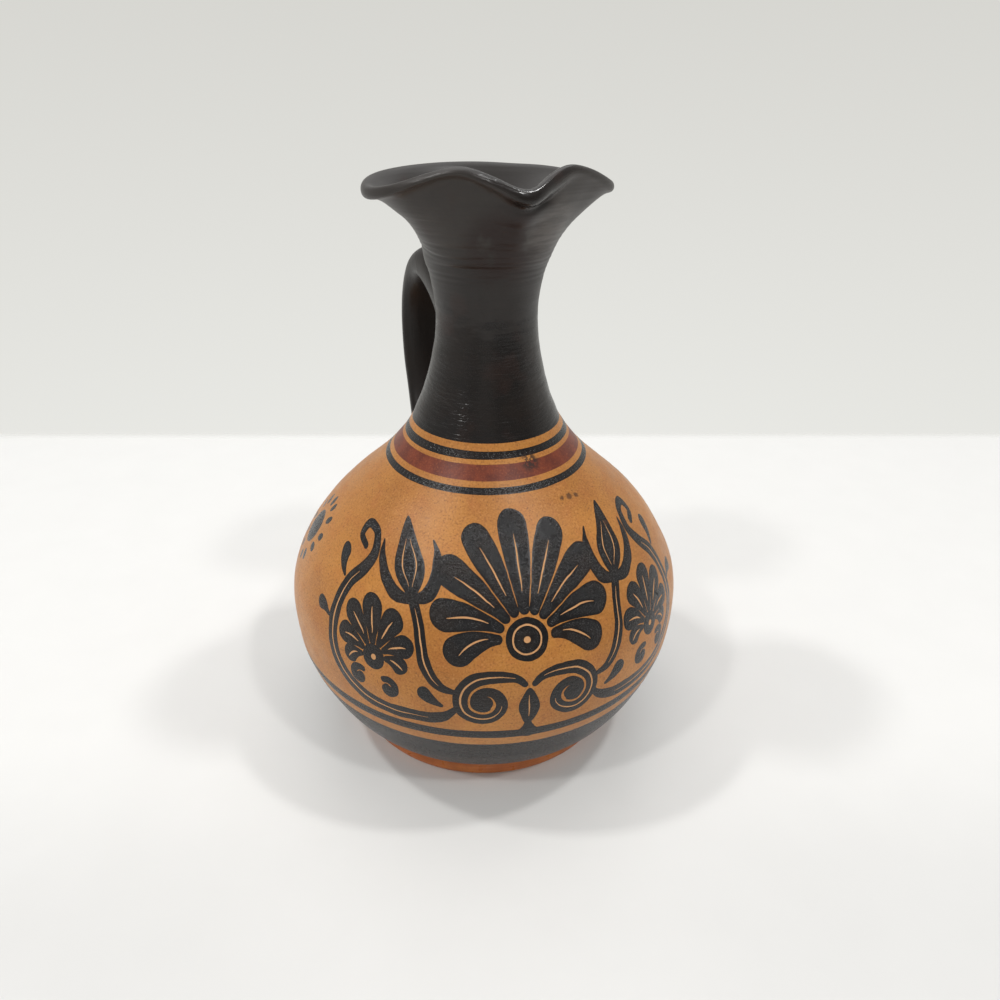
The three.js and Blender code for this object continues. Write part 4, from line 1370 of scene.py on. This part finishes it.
# a painted pool of light on the paper in front of the jug, lightening the jug's shade there
spot = on_floor(480.0, 845.0) - mid_edge
far_ = t.nodes.new("ShaderNodeVectorMath")
far_.operation = "DISTANCE"
t.links.new(tc.outputs["Object"], far_.inputs[0])
far_.inputs[1].default_value = (spot.dot(along), spot.dot(away), 0.0)
pale = t.nodes.new("ShaderNodeMapRange")
pale.interpolation_type = "SMOOTHSTEP"
pale.inputs[1].default_value, pale.inputs[2].default_value = 0.090, 0.015
pale.inputs[3].default_value, pale.inputs[4].default_value = 1.0, 1.10
t.links.new(far_.outputs["Value"], pale.inputs[0])
gain = t.nodes.new("ShaderNodeMath")
gain.operation = "MULTIPLY"
t.links.new(near.outputs[0], gain.inputs[0])
t.links.new(pale.outputs[0], gain.inputs[1])
dim = t.nodes.new("ShaderNodeVectorMath")
dim.operation = "SCALE"
t.links.new(rp.outputs[0], dim.inputs[0])
t.links.new(gain.outputs[0], dim.inputs["Scale"])
t.links.new(dim.outputs[0], bs.inputs["Base Color"])
bs.inputs["Roughness"].default_value = 0.42
bs.inputs["Specular IOR Level"].default_value = 0.35
sp = t.nodes.new("ShaderNodeSeparateXYZ")
t.links.new(tc.outputs["Object"], sp.inputs[0])
mr = t.nodes.new("ShaderNodeMapRange")
mr.interpolation_type = "SMOOTHSTEP"
mr.inputs[1].default_value, mr.inputs[2].default_value = 0.0, -0.010
mr.inputs[3].default_value, mr.inputs[4].default_value = 0.0, 1.0
t.links.new(sp.outputs[1], mr.inputs[0])
t.links.new(sp.outputs[1], near.inputs[0])
t.links.new(mr.outputs[0], bs.inputs["Alpha"])
fm.materials.append(tm)

world = bpy.data.worlds.new("room")
bpy.context.scene.world = world
world.use_nodes = True
wt = world.node_tree
bg = wt.nodes["Background"]
wc = wt.nodes.new("ShaderNodeTexCoord")
ws = wt.nodes.new("ShaderNodeSeparateXYZ")
wt.links.new(wc.outputs["Generated"], ws.inputs[0])
wm = wt.nodes.new("ShaderNodeMapRange")
wm.inputs[1].default_value, wm.inputs[2].default_value = -1.0, 1.0
wt.links.new(ws.outputs[2], wm.inputs[0])
wr = wt.nodes.new("ShaderNodeValToRGB")
els = wr.color_ramp.elements
els[0].position, els[0].color = 0.0, (0.80, 0.80, 0.78, 1)
els[1].position, els[1].color = 1.0, (0.42, 0.42, 0.42, 1)
for pos, col in ((0.30, (0.815, 0.815, 0.78, 1)), (0.545, (0.68, 0.675, 0.64, 1)), (0.66, (0.50, 0.50, 0.49, 1))):
    e = els.new(pos)
    e.color = col
wt.links.new(wm.outputs[0], wr.inputs[0])


def room(kind, op, *v):
    n = wt.nodes.new(kind)
    if op:
        n.operation = op
    for s, w in zip(n.inputs, v):
        if isinstance(w, bpy.types.NodeSocket):
            wt.links.new(w, s)
        elif w is not None:
            s.default_value = w
    return n


def room_sector(a0, a1, soft):
    """1 between two angles right of the direction that faces the photographer, in degrees."""
    up = room("ShaderNodeMapRange", None, az_, math.radians(a0 - soft), math.radians(a0 + soft), 0.0, 1.0)
    dn = room("ShaderNodeMapRange", None, az_, math.radians(a1 - soft), math.radians(a1 + soft), 1.0, 0.0)
    up.interpolation_type = dn.interpolation_type = "SMOOTHSTEP"
    return room("ShaderNodeMath", "MULTIPLY", up.outputs[0], dn.outputs[0]).outputs[0]


back_ = Vector((-fwd.x, -fwd.y, 0)).normalized()
side_ = Vector((rgt.x, rgt.y, 0)).normalized()
u_ = room("ShaderNodeVectorMath", "DOT_PRODUCT", wc.outputs["Generated"], tuple(back_)).outputs["Value"]
v_ = room("ShaderNodeVectorMath", "DOT_PRODUCT", wc.outputs["Generated"], tuple(side_)).outputs["Value"]
az_ = room("ShaderNodeMath", "ARCTAN2", v_, u_).outputs[0]
low_ = room("ShaderNodeMapRange", None, ws.outputs[2], 0.75, 0.40, 0.0, 1.0).outputs[0]
dark_a = room("ShaderNodeMath", "MULTIPLY", room_sector(14.0, 82.0, 5.0), 0.50).outputs[0]
dark_b = room("ShaderNodeMath", "MULTIPLY", room_sector(-33.0, -13.0, 5.0), 0.32).outputs[0]
shade = room("ShaderNodeMath", "MULTIPLY", room("ShaderNodeMath", "ADD", dark_a, dark_b).outputs[0], low_).outputs[0]
light_ = room("ShaderNodeMath", "SUBTRACT", 1.0, shade).outputs[0]
room_col = wt.nodes.new("ShaderNodeVectorMath")
room_col.operation = "SCALE"
wt.links.new(wr.outputs[0], room_col.inputs[0])
wt.links.new(light_, room_col.inputs["Scale"])
wt.links.new(room_col.outputs[0], bg.inputs["Color"])
bg.inputs["Strength"].default_value = 1.0


def soft_light(name, az, el, dist_m, size, power, colour=(1, 1, 1), size_y=None, aim=(0, 0, 0.06)):
    """A softbox seen from the jug at that azimuth (from -Y towards +X) and elevation, in degrees."""
    A, E = math.radians(az), math.radians(el)
    d = Vector((math.sin(A) * math.cos(E), -math.cos(A) * math.cos(E), math.sin(E)))
    L = bpy.data.lights.new(name, "AREA")
    L.shape = "RECTANGLE"
    L.size, L.size_y = size, size_y or size
    L.energy = power
    L.color = colour
    o = link(bpy.data.objects.new(name, L))
    o.location = Vector(aim) + d * dist_m
    o.rotation_euler = d.to_track_quat("Z", "Y").to_euler()
    return o


soft_light("ceiling_left", -116.3, 59, 1.5, 0.11, 5.2, (1.0, 0.995, 0.985))
soft_light("ceiling_right", 72.7, 65, 1.5, 0.11, 4.8, (1.0, 0.995, 0.985))
soft_light("front_left", -71.3, 51, 1.5, 0.11, 3.6, (1.0, 0.995, 0.985))
soft_light("front_right", 22.7, 54, 1.5, 0.11, 3.6, (1.0, 0.995, 0.985))
soft_light("ceiling_wide", 158.7, 68, 1.2, 1.0, 3.6, (0.985, 0.995, 1.0), aim=(0.05, 0.12, 0.0))

sc = bpy.context.scene
sc.view_settings.view_transform = "Standard"
sc.view_settings.look = "None"
sc.view_settings.exposure = 0.0
sc.view_settings.gamma = 1.0
